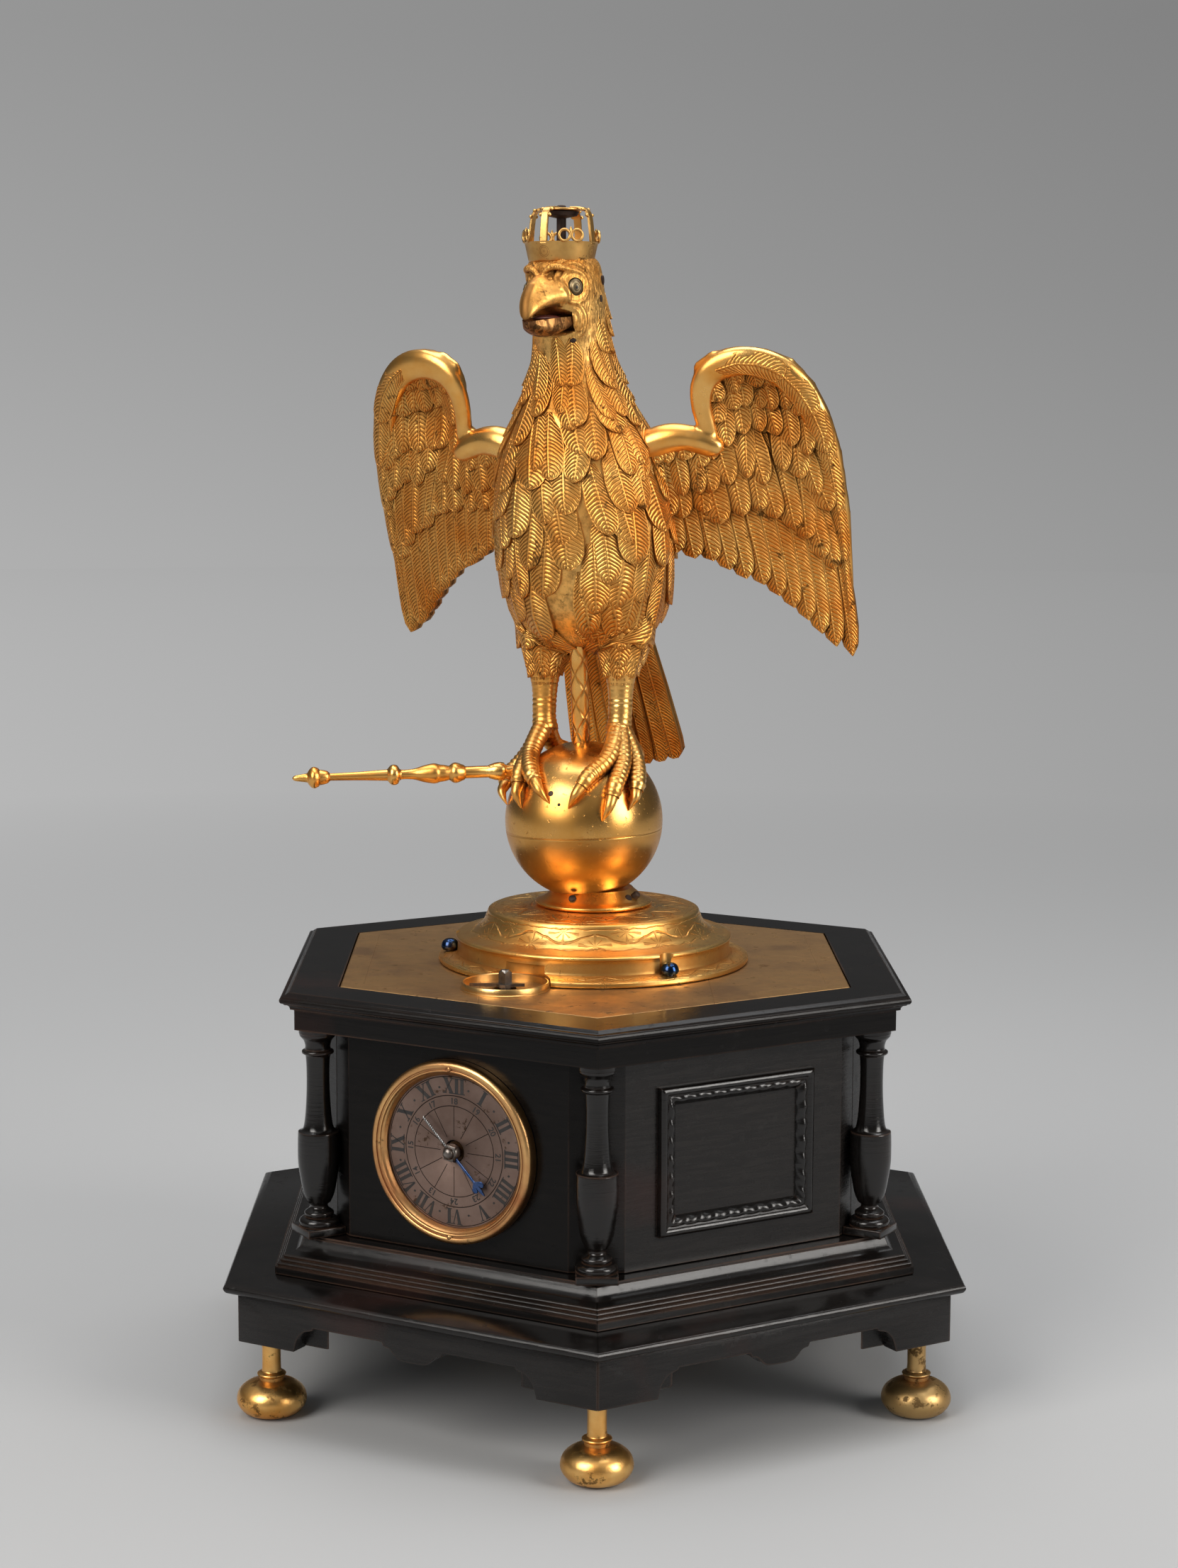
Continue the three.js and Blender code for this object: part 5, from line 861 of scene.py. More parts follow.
# Eagle's body: a hollow brass casting, chased all over and gilt, with the neck and head in one piece.
# The skin carries the thighs, the beak's root and the raised rings round the eyes and the mouth.
def limb(name, stations, spacing=0.5, sides=16, ridges=None):
    """A round limb through stations of x, y, z and radius; ridges are ring scales' spacing and height."""
    line = eased([(*station, 1) for station in stations], 24)
    even = [line[0]]
    for point in line[1:]:
        if (point.xyz - even[-1].xyz).length >= spacing:
            even.append(point)
    even.append(line[-1])
    walked, radii = 0.0, []
    for i, point in enumerate(even):
        walked += (point.xyz - even[i - 1].xyz).length if i else 0
        swell = 1 + ridges[1] * (abs(math.sin(math.pi * walked / ridges[0])) - 0.5) if ridges else 1
        radii.append(point.w * swell)
    return swept(name, [point.xyz for point in even], radii, sides, Vector((1, 0, 0)), 75)


def melted(piece, voxel, rounds=3):
    """Runs joined forms together into one skin, as they are in the wax."""
    only(piece)
    remesh = piece.modifiers.new("melt", "REMESH")
    remesh.mode = "VOXEL"
    remesh.voxel_size = voxel
    remesh.use_smooth_shade = True
    bpy.ops.object.modifier_apply(modifier=remesh.name)
    soften = piece.modifiers.new("soften", "SMOOTH")
    soften.factor = 0.5
    soften.iterations = rounds
    bpy.ops.object.modifier_apply(modifier=soften.name)
    return piece


BODY = eased([
    (51.5, 8, 8, 6.5, 0), (53, 13, 12, 7, 1), (56, 18, 15.5, 8, 1), (61, 22, 20, 8.5, 1), (67, 24, 22, 8, 1),
    (76, 25.8, 23, 7.5, 1), (85, 26.3, 23, 7, 1), (95, 25.6, 22.5, 6, 1), (103, 24.3, 21, 5.5, 1),
    (110, 22.5, 19, 5, 1), (117, 19.3, 17, 4.5, 1), (126, 14.9, 14.3, 4, 1), (133, 12.2, 12.3, 3.2, 1),
    (139, 11, 11.3, 2.8, 1), (149, 10.9, 12.2, 1.2, 1), (156, 11, 12.8, 0.8, 1), (161, 10.7, 12, 1, 1),
    (163.8, 10.2, 10.6, 1, 1), (165.5, 8.4, 8.4, 1, 1), (167.5, 4, 4, 1, 0)], 4)
NECK_TOP = 144
HEAD_LEAN = 0.06


def leaning_head(x, y, z):
    return Vector((x - HEAD_LEAN * max(0, z - NECK_TOP), y, z))


def body_at(z):
    for low, high in zip(BODY, BODY[1:]):
        if z <= high[0]:
            return low.lerp(high, max(0.0, (z - low[0]) / (high[0] - low[0])))
    return BODY[-1]


def on_body(angle, z):
    _, half_width, half_depth, middle = body_at(z)
    return leaning_head(half_width * math.cos(angle), middle + half_depth * math.sin(angle), z)


def body_ring(level):
    return [on_body(a, level[0]) for a in steps_round(64)]


def surface(piece):
    mesh = piece.data
    return BVHTree.FromPolygons([v.co for v in mesh.vertices], [tuple(p.vertices) for p in mesh.polygons])


LEG = [(12.4, 6, 62, 9.5), (12.4, 4, 51, 7.4), (12.4, 2.5, 45, 5.0), (12.4, 2, 39, 3.8), (12.4, 1, 31, 3.5),
       (11.9, 0.3, 26.8, 4.0)]
cast = lofted("eagle_cast", [body_ring(level) for level in BODY if level[0] < NECK_TOP])
thighs = [limb("thigh", [(side * x, y, z, r) for x, y, z, r in LEG[:4]], 1.5, 24) for side in (-1, 1)]
melted(joined(cast, *thighs), 0.9)


def beak_ring(forward, low, high, half_width):
    """A section of the upper beak: narrow at its ridge, widest low down, nearly flat beneath."""
    ring = []
    middle = low + 0.34 * (high - low)
    for a in steps_round(32):
        up, wide = math.sin(a), math.cos(a)
        wide = wide * (1 - 0.3 * up) if up > 0 else math.copysign(abs(wide) ** 0.55, wide)
        level = middle + up * (high - middle if up > 0 else middle - low)
        ring.append(leaning_head(wide * half_width, -forward, level))
    return ring


skull = lofted("eagle_skull", [[turn(7) @ p for p in body_ring(level)] for level in BODY if level[0] > 136])
whole = surface(skull)
UPPER_BEAK = eased([(3, 150.8, 160.8, 8.2, 1), (8.4, 150.9, 161.6, 7.9, 1), (12, 151.0, 160.8, 6.6, 1),
                    (16.4, 150.4, 159, 5.1, 1), (19.8, 149.0, 156.6, 3.6, 1), (22.3, 147.4, 153.4, 2.1, 1),
                    (23.3, 146.7, 150.2, 0.8, 1)], 6)
melted(joined(skull, lofted("beak_root", [beak_ring(*ring) for ring in UPPER_BEAK])), 0.5, 9)
bare = surface(skull)


def raised_arc(on, centre, aim, reach, tall, thick, first, last, side):
    """A raised ring on the skin round a point of the head, thinning out to both ends."""
    outward_aim = Vector((aim.x * side, aim.y, aim.z))
    back = outward_aim.cross(Vector((0, 0, 1))).normalized() * side
    over_it = back.cross(outward_aim).normalized() * side
    middle = Vector((centre.x * side, centre.y, centre.z))
    stations = []
    for step in range(25):
        a = math.radians(first + (last - first) * step / 24)
        spot = middle + back * reach * math.cos(a) + over_it * tall * math.sin(a)
        near, normal, _, _ = on.find_nearest(leaning_head(*spot))
        radius = thick * math.sin(math.pi * (step + 1) / 26) ** 0.5
        stations.append((*(near + normal * 0.1), max(0.25, radius)))
    return limb("raised_arc", stations, 0.5, 12)


EYE = Vector((6.95, -6.4, 156.4))
EYE_AIM = Vector((0.74, -0.66, 0.1)).normalized()
NOSTRIL = Vector((3.6, -13.2, 159.3))
MOUTH_CORNER = Vector((6.8, -8.3, 146.8))
LIP_AIM = Vector((0.8, -0.6, 0))
FROWN = [(1.0, -12.6, 160.4, 0.7), (2.6, -12.4, 161.9, 0.9), (4.6, -11.6, 162.4, 1.0),
         (6.6, -9.6, 161.9, 0.9), (8.2, -6.6, 161.2, 0.6)]
forms = []
for side in (-1, 1):
    for reach, thick, first, last in ((3.75, 0.62, -180, 180), (5.5, 0.6, -40, 175), (7.2, 0.5, 0, 140)):
        forms.append(raised_arc(bare, EYE, EYE_AIM, reach, reach * 1.15, thick, first, last, side))
    for reach, thick in ((0.9, 0.6), (2.5, 0.7), (4.1, 0.6)):
        forms.append(raised_arc(whole, MOUTH_CORNER, LIP_AIM, reach, 1.2 + reach, thick, 100, 244, side))
    forms.append(limb("frown", [(*leaning_head(side * x, y, z), r) for x, y, z, r in FROWN], 0.6, 12))
melted(joined(skull, *forms), 0.33)
MOUTH_LINE = [(-2.6, 144.4), (-6.2, 144.3), (-9, 142.6), (-11, 141.6), (-13.6, 141.6), (-13.6, 150.6),
              (-11, 150.6), (-9.4, 150), (-7, 148.8), (-2.6, 148.8)]
cut_out(skull, lofted("mouth", [[(x, y, z) for y, z in MOUTH_LINE] for x in (-6.85, 6.65)], 1))
for side in (-1, 1):
    for centre, radius, segments, ring_count, flat in ((EYE, 3.3, 32, 20, 0.9), (NOSTRIL, 0.85, 16, 10, 1)):
        bpy.ops.mesh.primitive_uv_sphere_add(segments=segments, ring_count=ring_count, radius=radius,
                                             scale=(flat, flat, 1),
                                             location=leaning_head(side * centre.x, centre.y, centre.z))
        cut_out(skull, bpy.context.object)
throat = drum(0, 0, 0, 2.2, 1.1, 4)
throat.data.transform(Matrix.Translation((1.2, -7.4, 139.9)) @ turn(90, "X") @ turn(45))
cut_out(skull, throat)
skull.data.transform(turn(-7))
joined(cast, skull)


def own_axis(place, seat, index):
    """One coordinate of the place in a seat's own directions, in metres."""
    row = seat.inverted()[index]
    share = add_node(place.id_data, "VectorMath", {0: place, 1: tuple(row[:3])}, "Value",
                     operation="DOT_PRODUCT")
    return plus(share, row[3])


def hair_lines(place):
    """Fine wavy chased lines over the head and neck, none on the beak, which is brown down its front."""
    strands = noise(stretched(place, (1.0, 1.0, 0.14)), 2300, distortion=0.3)
    x, y, z = (own_axis(place, HEAD, index) for index in range(3))
    above_beak = scaled(z, 400.0, -0.1595 * 400, clamp=True)
    line = times(ramp(strands, (0.38, 1.0), (0.52, 0.0)), most(scaled(y, 260.0, 2.4, clamp=True), above_beak))
    aside = size(scaled(minus(z, NECK_TOP * 0.001), HEAD_LEAN, x))
    band = times(scaled(aside, -1800.0, 3.2, clamp=True), scaled(y, -500.0, -8.2, clamp=True))
    band = times(band, scaled(z, -600.0, 0.159 * 600, clamp=True))
    mottle = times(ramp(noise(place, 330, 6, 0.7), (0.45, 0.0), (0.64, 1.0)), 0.7)
    return largest([times(line, 0.7), times(band, 0.85), mottle]), times(line, -0.0001)


chased_gilding = gilt_finish("chased_gilding", shade_and_patina=(0.1, 0.035, 0.01), pattern=hair_lines, rough=0.36,
                             reach=0.005, spots=0.6, grain=0.00006)
skin = surface(cast)
fitted(cast, EAGLE, chased_gilding, "eagle_body")

# Plumage: overlapping leaf-shaped feathers in rows, each with a rib and slanting barbs cut with a graver.
# They lie on the casting from the neck down to the thighs.
ALONG = (0.0, 0.3, 0.58, 0.78, 0.89, 0.96, 1.0)
ACROSS = (-1.0, -0.5, 0.0, 0.5, 1.0)
LEAF = (0.45, 0.84, 1.0, 0.93, 0.74, 0.47, 0.12)
FLIGHT = (0.62, 0.86, 1.0, 1.0, 0.92, 0.68, 0.12)
RIM = ([(0, k) for k in range(5)] + [(i, 4) for i in range(1, 7)] + [(6, k) for k in (3, 2, 1, 0)]
       + [(i, 0) for i in range(5, 0, -1)])


def add_feather(plumage, place, length, shape=LEAF, low=-0.3, high=1.25, arch=0.7, thick=1.0, tilt=0.0,
                barb=1.2):
    """One closed feather; place(along, across, height) is the spot on the form that it lies on."""
    points, faces, marks = plumage
    start = len(points)
    for along, share in zip(ALONG, shape):
        for across in ACROSS:
            height = low + (high - low) * along + arch * (1 - abs(across)) + tilt * across
            points.append(place(along, across * share, height))
            marks.append((across, along * length / barb))
    for i in range(6):
        for k in range(4):
            a = start + i * 5 + k
            faces.append([a, a + 1, a + 6, a + 5])
    base = len(points)
    for i, k in RIM:
        height = low + (high - low) * ALONG[i] + tilt * ACROSS[k] - thick
        points.append(place(ALONG[i], ACROSS[k] * shape[i], height))
        marks.append(marks[start + i * 5 + k])
    for n, (i, k) in enumerate(RIM):
        m = (n + 1) % len(RIM)
        next_i, next_k = RIM[m]
        faces.append([start + next_i * 5 + next_k, start + i * 5 + k, base + n, base + m])
    faces.append([base + n for n in range(len(RIM))])


def feathered(name, plumage):
    points, faces, marks = plumage
    piece = new_piece(name, points, faces)
    layer = piece.data.uv_layers.new(name="barbs")
    for loop in piece.data.loops:
        layer.data[loop.index].uv = marks[loop.vertex_index]
    return outward(piece, 50)


def barbs(place):
    """A smooth rib with slanting cuts on both sides, read from each feather's own map, and a dark edge."""
    across, phase, _ = parts(add_node(place.id_data, "UVMap", uv_map="barbs"))
    aside = size(across)
    bend = times(aside, scaled(aside, 1.9, 0.9))
    wave = away(fraction(minus(scaled(noise(place, 300), 0.9, phase), bend)), 0.5)
    rib = scaled(aside, -11.0, 1.3, clamp=True)
    beside = minus(scaled(aside, -11.0, 2.6, clamp=True), rib)
    inner = times(scaled(aside, -14.0, 13.3, clamp=True), scaled(rib, -1.0, 1.0))
    cut = most(times(scaled(wave, 5.0, -1.6, clamp=True), inner), times(beside, 0.5))
    edge = scaled(aside, 16.0, -15.2, clamp=True)
    lift = scaled(rib, 0.00012, times(times(times(wave, wave), inner), -0.00105))
    return most(times(cut, 0.85), times(edge, 0.8)), lift


feather_gilding = gilt_finish("feather_gilding", (0.85, 0.45, 0.115), (0.68, 0.25, 0.04),
                              (0.11, 0.034, 0.007), 0.34, 0.0045, 0.6, pattern=barbs)
chance = random.Random(11)


def body_feather(plumage, angle, top, length, half_width, sway, lift=0.0):
    def place(along, across, height):
        z = top - along * length * 0.985
        level = body_at(z)
        a = angle + sway * along + across * half_width * 2 / (level[1] + level[2])
        spot, normal, _, _ = skin.find_nearest(on_body(a, z))
        return spot + normal * (height + lift)
    add_feather(plumage, place, length)


def thigh_feather(plumage, side, angle, tip, length, half_width, radius, high):
    def place(along, across, height):
        z = tip + length * (1 - along)
        a = angle + across * half_width / radius
        reach = radius + 3.5 * (1 - along)
        rough = (side * LEG[0][0] + reach * math.cos(a), 3.5 + (z - 48) * 0.15 + reach * math.sin(a), z)
        spot, normal, _, _ = skin.find_nearest(rough)
        return spot + normal * height
    add_feather(plumage, place, length, high=high)


ROWS = [(50, 10, 16), (57.5, 10.5, 18), (65.5, 11, 20), (74, 11.3, 21), (82.5, 11.3, 21), (91, 11, 21),
        (99, 10.5, 20), (106.5, 9.6, 18.5), (113.5, 8.8, 17), (120, 7.8, 16), (126, 7, 14.5),
        (131.5, 6.2, 13.5)]
NECK_ROWS = [(137, 4.6, 11, 70), (142, 4, 10, 112), (147, 3.6, 9, 130), (152, 3.2, 8.5, 140)]
NECK_COUNT = 22
THIGH_ROWS = [(57, 9, 14, 9.3), (51, 8.5, 14, 8.4), (45.5, 7.5, 13, 6.6), (42.5, 6.0, 10, 5.0)]
plumage = ([], [], [])
for row, (tip, width, length) in enumerate(ROWS):
    level = body_at(tip + length * 0.4)
    count = round(math.pi * (level[1] + level[2]) / (width * 0.93))
    for i in range(count):
        angle = -math.pi / 2 + math.tau * (i + 0.5 * (row % 2) + chance.uniform(-0.27, 0.27)) / count
        drop = chance.uniform(-3.0, 3.0)
        between_legs = row == 0 and abs(math.cos(angle)) * level[1] < 7
        on_throat = tip > 130 and math.sin(angle) < -0.3
        if not between_legs and not on_throat:
            body_feather(plumage, angle, tip + length + drop, length, width / 2 * chance.uniform(0.7, 1.08),
                         chance.uniform(-0.2, 0.2), chance.uniform(-0.15, 0.4))
for tip, width, length, clear in NECK_ROWS:
    for i in range(NECK_COUNT):
        degrees = 360 * (i + chance.uniform(-0.3, 0.3)) / NECK_COUNT
        if abs((degrees + 180) % 360 - 180) >= clear:
            body_feather(plumage, math.radians(degrees - 97), tip + length, length, width / 2,
                         chance.uniform(-0.12, 0.12), -0.35)
for side in (-1, 1):
    for tip, width, length, radius in THIGH_ROWS:
        count = max(6, round(math.tau * radius / (width * 0.8)))
        for i in range(count):
            angle = math.tau * (i + 0.5 * (tip < 52) + chance.uniform(-0.12, 0.12)) / count
            thigh_feather(plumage, side, angle, tip, length, width / 2, radius, 1.0 if tip > 50 else 0.4)
fitted(feathered("body_plumage", plumage), EAGLE, feather_gilding)


# Legs and toes: cast with the body, chased into ring scales, with smooth pointed claws that grip the orb.
# Each foot has three toes forward and one behind.
def on_orb(azimuth, elevation, distance):
    return turn(azimuth) @ turn(-elevation, "X") @ Vector((0, -distance, 0))


TOES = {
    1: [[(55, 52), (30, 37), (16.4, 20.6)], [(68, 48), (50, 30), (40, 11)],
        [(84, 46), (70, 30), (61.7, 16.7)], [(120, 56), (143, 45), (152, 33)]],
    -1: [[(-55, 54), (-25, 40), (-5.4, 23.6)], [(-58, 54), (-38, 38), (-29.8, 19.4)],
         [(-84, 50), (-74, 32), (-60, 18)], [(-120, 56), (-143, 45), (-152, 33)]],
}
feet = []
for side, toes in TOES.items():
    ankle = (side * 12.0, 0.6, 29.0, 3.0)
    shank = [(side * x, y, z, r) for x, y, z, r in LEG[2:]]
    feet.append(limb("eagle_legs", shank, 0.35, 24, (1.5, 0.07)))
    for spots in toes:
        first, middle, end = (on_orb(*spot, 26) for spot in spots)
        knuckle = middle.lerp(end, 0.42).normalized() * 25.7
        toe = [ankle, (*first, 2.7), (*middle, 2.5), (*knuckle, 2.1)]
        feet.append(limb("toe", toe, 0.3, 18, (1.65, 0.13)))
        hold = end.normalized() * 23.9
        claw = [(*(middle.lerp(end, 0.3).normalized() * 25.8), 1.6), (*knuckle, 1.8),
                (*(middle.lerp(end, 0.75).normalized() * 25.9), 1.45), (*(end.normalized() * 25.0), 0.85),
                (*(hold + (hold - middle).normalized() * 2.2).normalized() * 23.7, 0.12)]
        feet.append(limb("claw", claw, 0.4, 14))
scaly_gilding = gilt_finish("scaly_gilding", shade_and_patina=(0.12, 0.04, 0.01), rough=0.28, reach=0.0028, grain=0.00009)
fitted(joined(*feet), EAGLE, scaly_gilding)

# Eyes: bronzed domes with a paler ring and a black pupil, loose in their sockets so that they can turn.
# Iron plugs close three holes of the casting, on the cheek, the crown and the neck.
eye_bronze = steel_finish("eye_bronze", (0.22, 0.165, 0.095), (0.085, 0.06, 0.034), 0.42)
pale_ring = steel_finish("eye_ring", (0.38, 0.3, 0.17), (0.2, 0.15, 0.085), 0.4)
eye_line = eased([(0, -2.7, 0), (2.0, -2.1, 1), (2.8, -0.5, 1), (2.85, 0.9, 1), (2.5, 1.7, 0),
                  (2.35, 1.72, 0), (1.7, 2.2, 1), (0.9, 2.6, 1), (0, 2.72, 1)])
iris_line = eased([(1.25, 2.2, 0), (1.75, 1.95, 0), (1.8, 2.15, 1), (1.55, 2.4, 1), (1.3, 2.5, 1),
                   (1.15, 2.4, 0)])
pupil_line = eased([(0, 2.5, 0), (0.5, 2.5, 0), (0.5, 2.75, 1), (0.25, 2.85, 1), (0, 2.87, 1)])
for side, name in ((1, "left"), (-1, "right")):
    spot = leaning_head(side * EYE.x, EYE.y, EYE.z)
    seat = HEAD @ shift(*spot) @ turn(-36 * side) @ turn(side * 90, "Y") @ Matrix.Diagonal((0.97, 0.8, 1, 1))
    body = f"{name}_eye"
    fitted(spun(f"eye_dome_{name}", eye_line, 48), seat, eye_bronze, f"eye_{name}", body)
    fitted(spun(f"eye_iris_{name}", iris_line, 48, closed=True), seat, pale_ring, None, body)
    fitted(spun(f"eye_pupil_{name}", pupil_line, 20), seat, wax, None, body)
plug_line = eased([(0, -1.2, 0), (1, -1.2, 0), (1, 0.25, 0), (0.6, 0.4, 1), (0, 0.42, 1)])
for number, (azimuth, z, wide, tall) in enumerate([(33, 141.3, 0.95, 0.7), (107, 158.5, 0.75, 1.35),
                                                   (94, 153.2, 0.6, 1.0)], 1):
    plug = spun(f"head_plug_{number}", plug_line, 20)
    plug.data.transform(Matrix.Diagonal((wide, tall, 1, 1)))
    seat = shift(*on_body(math.radians(azimuth - 90), z)) @ turn(azimuth - 90) @ turn(90, "Y") @ turn(90)
    fitted(plug, HEAD @ seat, rusty_iron)

# Lower beak: a loose brass jaw hinged behind the mouth, its gilding rubbed to a reddish brown.
# A lacquered tongue lies in it.
LOWER_BEAK = eased([(3.2, 146.0, 148.5, 6.0, 1), (6, 145.1, 148.4, 6.4, 1), (9, 143.8, 148.3, 6.5, 1),
                    (13.4, 142.5, 148.1, 5.8, 1), (18.2, 143.4, 147.6, 3.9, 1), (21.2, 144.8, 147.1, 1.9, 1),
                    (22.3, 145.8, 146.7, 0.6, 1)], 5)


def jaw_ring(forward, low, high, half_width):
    """A section of the jaw: round beneath, hollowed above between its two edges."""
    ring = []
    for a in steps_round(32):
        up = math.sin(a)
        level = (low + high) / 2 + (high - low) / 2 * up
        if up > 0:
            level = high - (1 - up) * 0.5 * (high - low) * (1 - abs(math.cos(a)) ** 6) - 0.9 * up ** 2
        ring.append(leaning_head(half_width * math.cos(a), -forward, level))
    return ring


def streaks(place):
    worn = ramp(noise(stretched(place, (1.0, 1.0, 0.3)), 700, 4, distortion=0.8), (0.42, 1.0), (0.6, 0.0))
    return times(worn, 0.9), times(worn, -0.00006)


pin = drum(0, 0, -7.0, 7.0, 0.85, 20)
pin.data.transform(Matrix.Translation((-0.15, -5, 146.5)) @ turn(90, "Y"))
jaw = joined(lofted("lower_beak_cast", [jaw_ring(*ring) for ring in LOWER_BEAK], 50), pin)
rubbed_gilding = gilt_finish("rubbed_gilding", (0.55, 0.28, 0.09), (0.22, 0.09, 0.04), (0.05, 0.018, 0.01),
                             0.4, spots=0.58, pattern=streaks)
fitted(jaw, HEAD, rubbed_gilding, "lower_beak", "jaw")
TONGUE_LINE = [(0, -5, 147.2, 1.6), (0, -10, 147.7, 2.3), (0, -14, 148.0, 2.1), (0, -17, 147.8, 1.1),
               (0, -18, 147.6, 0.3)]
tongue = limb("tongue", TONGUE_LINE, 0.5, 16)
tongue.data.transform(Matrix.Translation((0, 0, 148)) @ Matrix.Diagonal((1.35, 1, 0.42, 1))
                      @ Matrix.Translation((0, 0, -148.2)))
lacquer = steel_finish("red_lacquer", (0.14, 0.025, 0.02), (0.05, 0.012, 0.01), 0.4, metallic=0.0)
fitted(tongue, HEAD, lacquer, body="jaw")

# Wings: two hollowed brass castings, feathered on both faces, with a smooth shoulder and a rolled edge.
# Each hangs on a knuckle inside the breast and is lifted by the rod.
WING_LEAN = 15.5
WING = (Matrix.Translation((0, 1.1, 110.1)) @ turn(15) @ turn(WING_LEAN, "X")
        @ Matrix.Diagonal((1, 1, 1 / math.cos(math.radians(WING_LEAN)), 1)))
WING_EDGE = [(18, 1), (22, 4.5), (28.5, 6), (36, 5.6), (40, 7.5), (38.5, 14), (36.5, 19), (37, 25),
             (42, 28.5), (50, 30), (58, 29), (66, 25.5), (72, 18), (76, 9), (79, -3), (80.7, -19),
             (80.6, -38), (79.2, -56)]
WING_HEEL = [(22, -22), (20, -10)]
WEB_THICK = 2.0
FLIGHT_TIPS = [(79.5, -59.5), (74, -56), (67, -49), (60, -43), (54, -38.5), (47, -36), (41, -32), (35, -31),
               (29, -29)]
QUILLS = [(72 - 47 * i / 8, 5 - 10 * i / 8) for i in range(9)]


def hollow(x, z):
    """How far the wing bellies back behind its drawing."""
    bowl = 6.2 * math.exp(-((x - 53) / 13) ** 2 - ((z - 11) / 14) ** 2)
    return bowl + 1.2 * math.exp(-((x - 30) / 10) ** 2 - ((z + 10) / 10) ** 2)


wing_hem = [Vector(quill).lerp(Vector(tip), 0.86) for quill, tip in zip(QUILLS, FLIGHT_TIPS)]
drawn = WING_EDGE + wing_hem + WING_HEEL
wing_cast = lofted("wing_pattern", [[(x, y, z) for x, z in drawn] for y in (-WEB_THICK, 0)], 0)
melted(wing_cast, 0.75, 1)
for vertex in wing_cast.data.vertices:
    vertex.co.y += hollow(vertex.co.x, vertex.co.z)
SHOULDER = [(19, -0.6, -1, 4.2), (24, -0.8, 1.2, 4.6), (29, -1, 2.6, 4.5), (34, -1.2, 2.6, 4.0),
            (38.5, -1.5, 1.4, 3.8), (41.4, -1.8, 0.2, 3.3), (43, -2, -0.6, 2.7), (43.9, -2, -1.4, 1.6)]
shoulder = limb("wing_shoulder", SHOULDER, 0.6, 28)
ROLL_FRONT = -1.7
ROLL_FLAT = 0.62
ROLL = eased([(41.6, -1, 1.8, 1), (40.2, 5, 2.7, 1), (38.8, 12, 3.1, 1), (39.4, 18.4, 3.6, 1),
              (42.6, 23, 4.0, 1), (48, 25.4, 4.3, 1), (54, 25.6, 4.4, 1), (60.4, 23.4, 4.4, 1),
              (66.2, 18.4, 4.4, 1), (70.6, 11, 4.2, 1), (74, 1.6, 3.8, 1), (76.2, -10, 3.3, 1),
              (77.9, -25, 2.7, 1), (78.8, -40, 1.9, 1), (79.2, -52, 1.1, 1)], 8)
roll = limb("wing_roll", [(x, 0, z, r) for x, z, r in ROLL[::4]], 0.8, 24)
roll.data.transform(Matrix.Translation((0, ROLL_FRONT, 0)) @ Matrix.Diagonal((1, ROLL_FLAT, 1, 1)))
melted(joined(wing_cast, shoulder, roll), 0.62, 4)


def wing_feather(plumage, tip, lean, length, half_width, lift, side, shape=LEAF, high=1.2, thick=1.2,
                 tilt=0.35):
    """A feather on the wing's front (side 1) or back (side -1), pointing down and a little outwards."""
    run = Vector((math.sin(lean), -math.cos(lean)))
    root = Vector(tip) - run * length
    aside = Vector((run.y, -run.x)) * -side

    def place(along, across, height):
        spot = root + run * (along * length) + aside * (across * half_width)
        back = hollow(*spot)
        face = back - WEB_THICK - lift - height if side == 1 else back + lift + height
        return Vector((spot.x, face, spot.y))
    add_feather(plumage, place, length, shape, -0.2, high, 0.6, thick, tilt)


def line_length(line):
    return sum((ahead.xy - here.xy).length for here, ahead in zip(line, line[1:]))


def at_distance(line, target):
    """The spot at a distance along a line, and the line's direction there."""
    gone = 0.0
    for here, ahead in zip(line, line[1:]):
        step = (ahead.xy - here.xy).length
        if gone + step >= target or ahead is line[-1]:
            break
        gone += step
    return here.lerp(ahead, min(1.0, (target - gone) / step)), (ahead.xy - here.xy).normalized()


def along_line(points, count):
    """Even places along a line of points, from its first point to its last."""
    line = eased([(*point, 1) for point in points], 12)
    return [at_distance(line, line_length(line) * i / (count - 1))[0] for i in range(count)]


def roll_feather(plumage, line, start, length=21.0):
    """A feather wrapped over the front of the rolled edge, starting at a distance along it."""
    def place(along, across, height):
        spot, run = at_distance(line, start + along * length)
        aside = across * spot.z * 0.86
        front = ROLL_FLAT * math.sqrt(max(0.0, spot.z ** 2 - aside ** 2)) + height * 0.45
        return Vector((spot.x - run.y * aside, ROLL_FRONT - front, spot.y + run.x * aside))
    add_feather(plumage, place, length, FLIGHT, -0.3, 1.0, 0.35, barb=1.25)


def headroom(x):
    """The height of the wing's upper edge above its drawing line."""
    for (first_x, first_z), (last_x, last_z) in zip(WING_EDGE[8:], WING_EDGE[9:]):
        if max(first_x, 43.5) <= x <= last_x:
            return first_z + (last_z - first_z) * (x - first_x) / (last_x - first_x)
    return 6.0


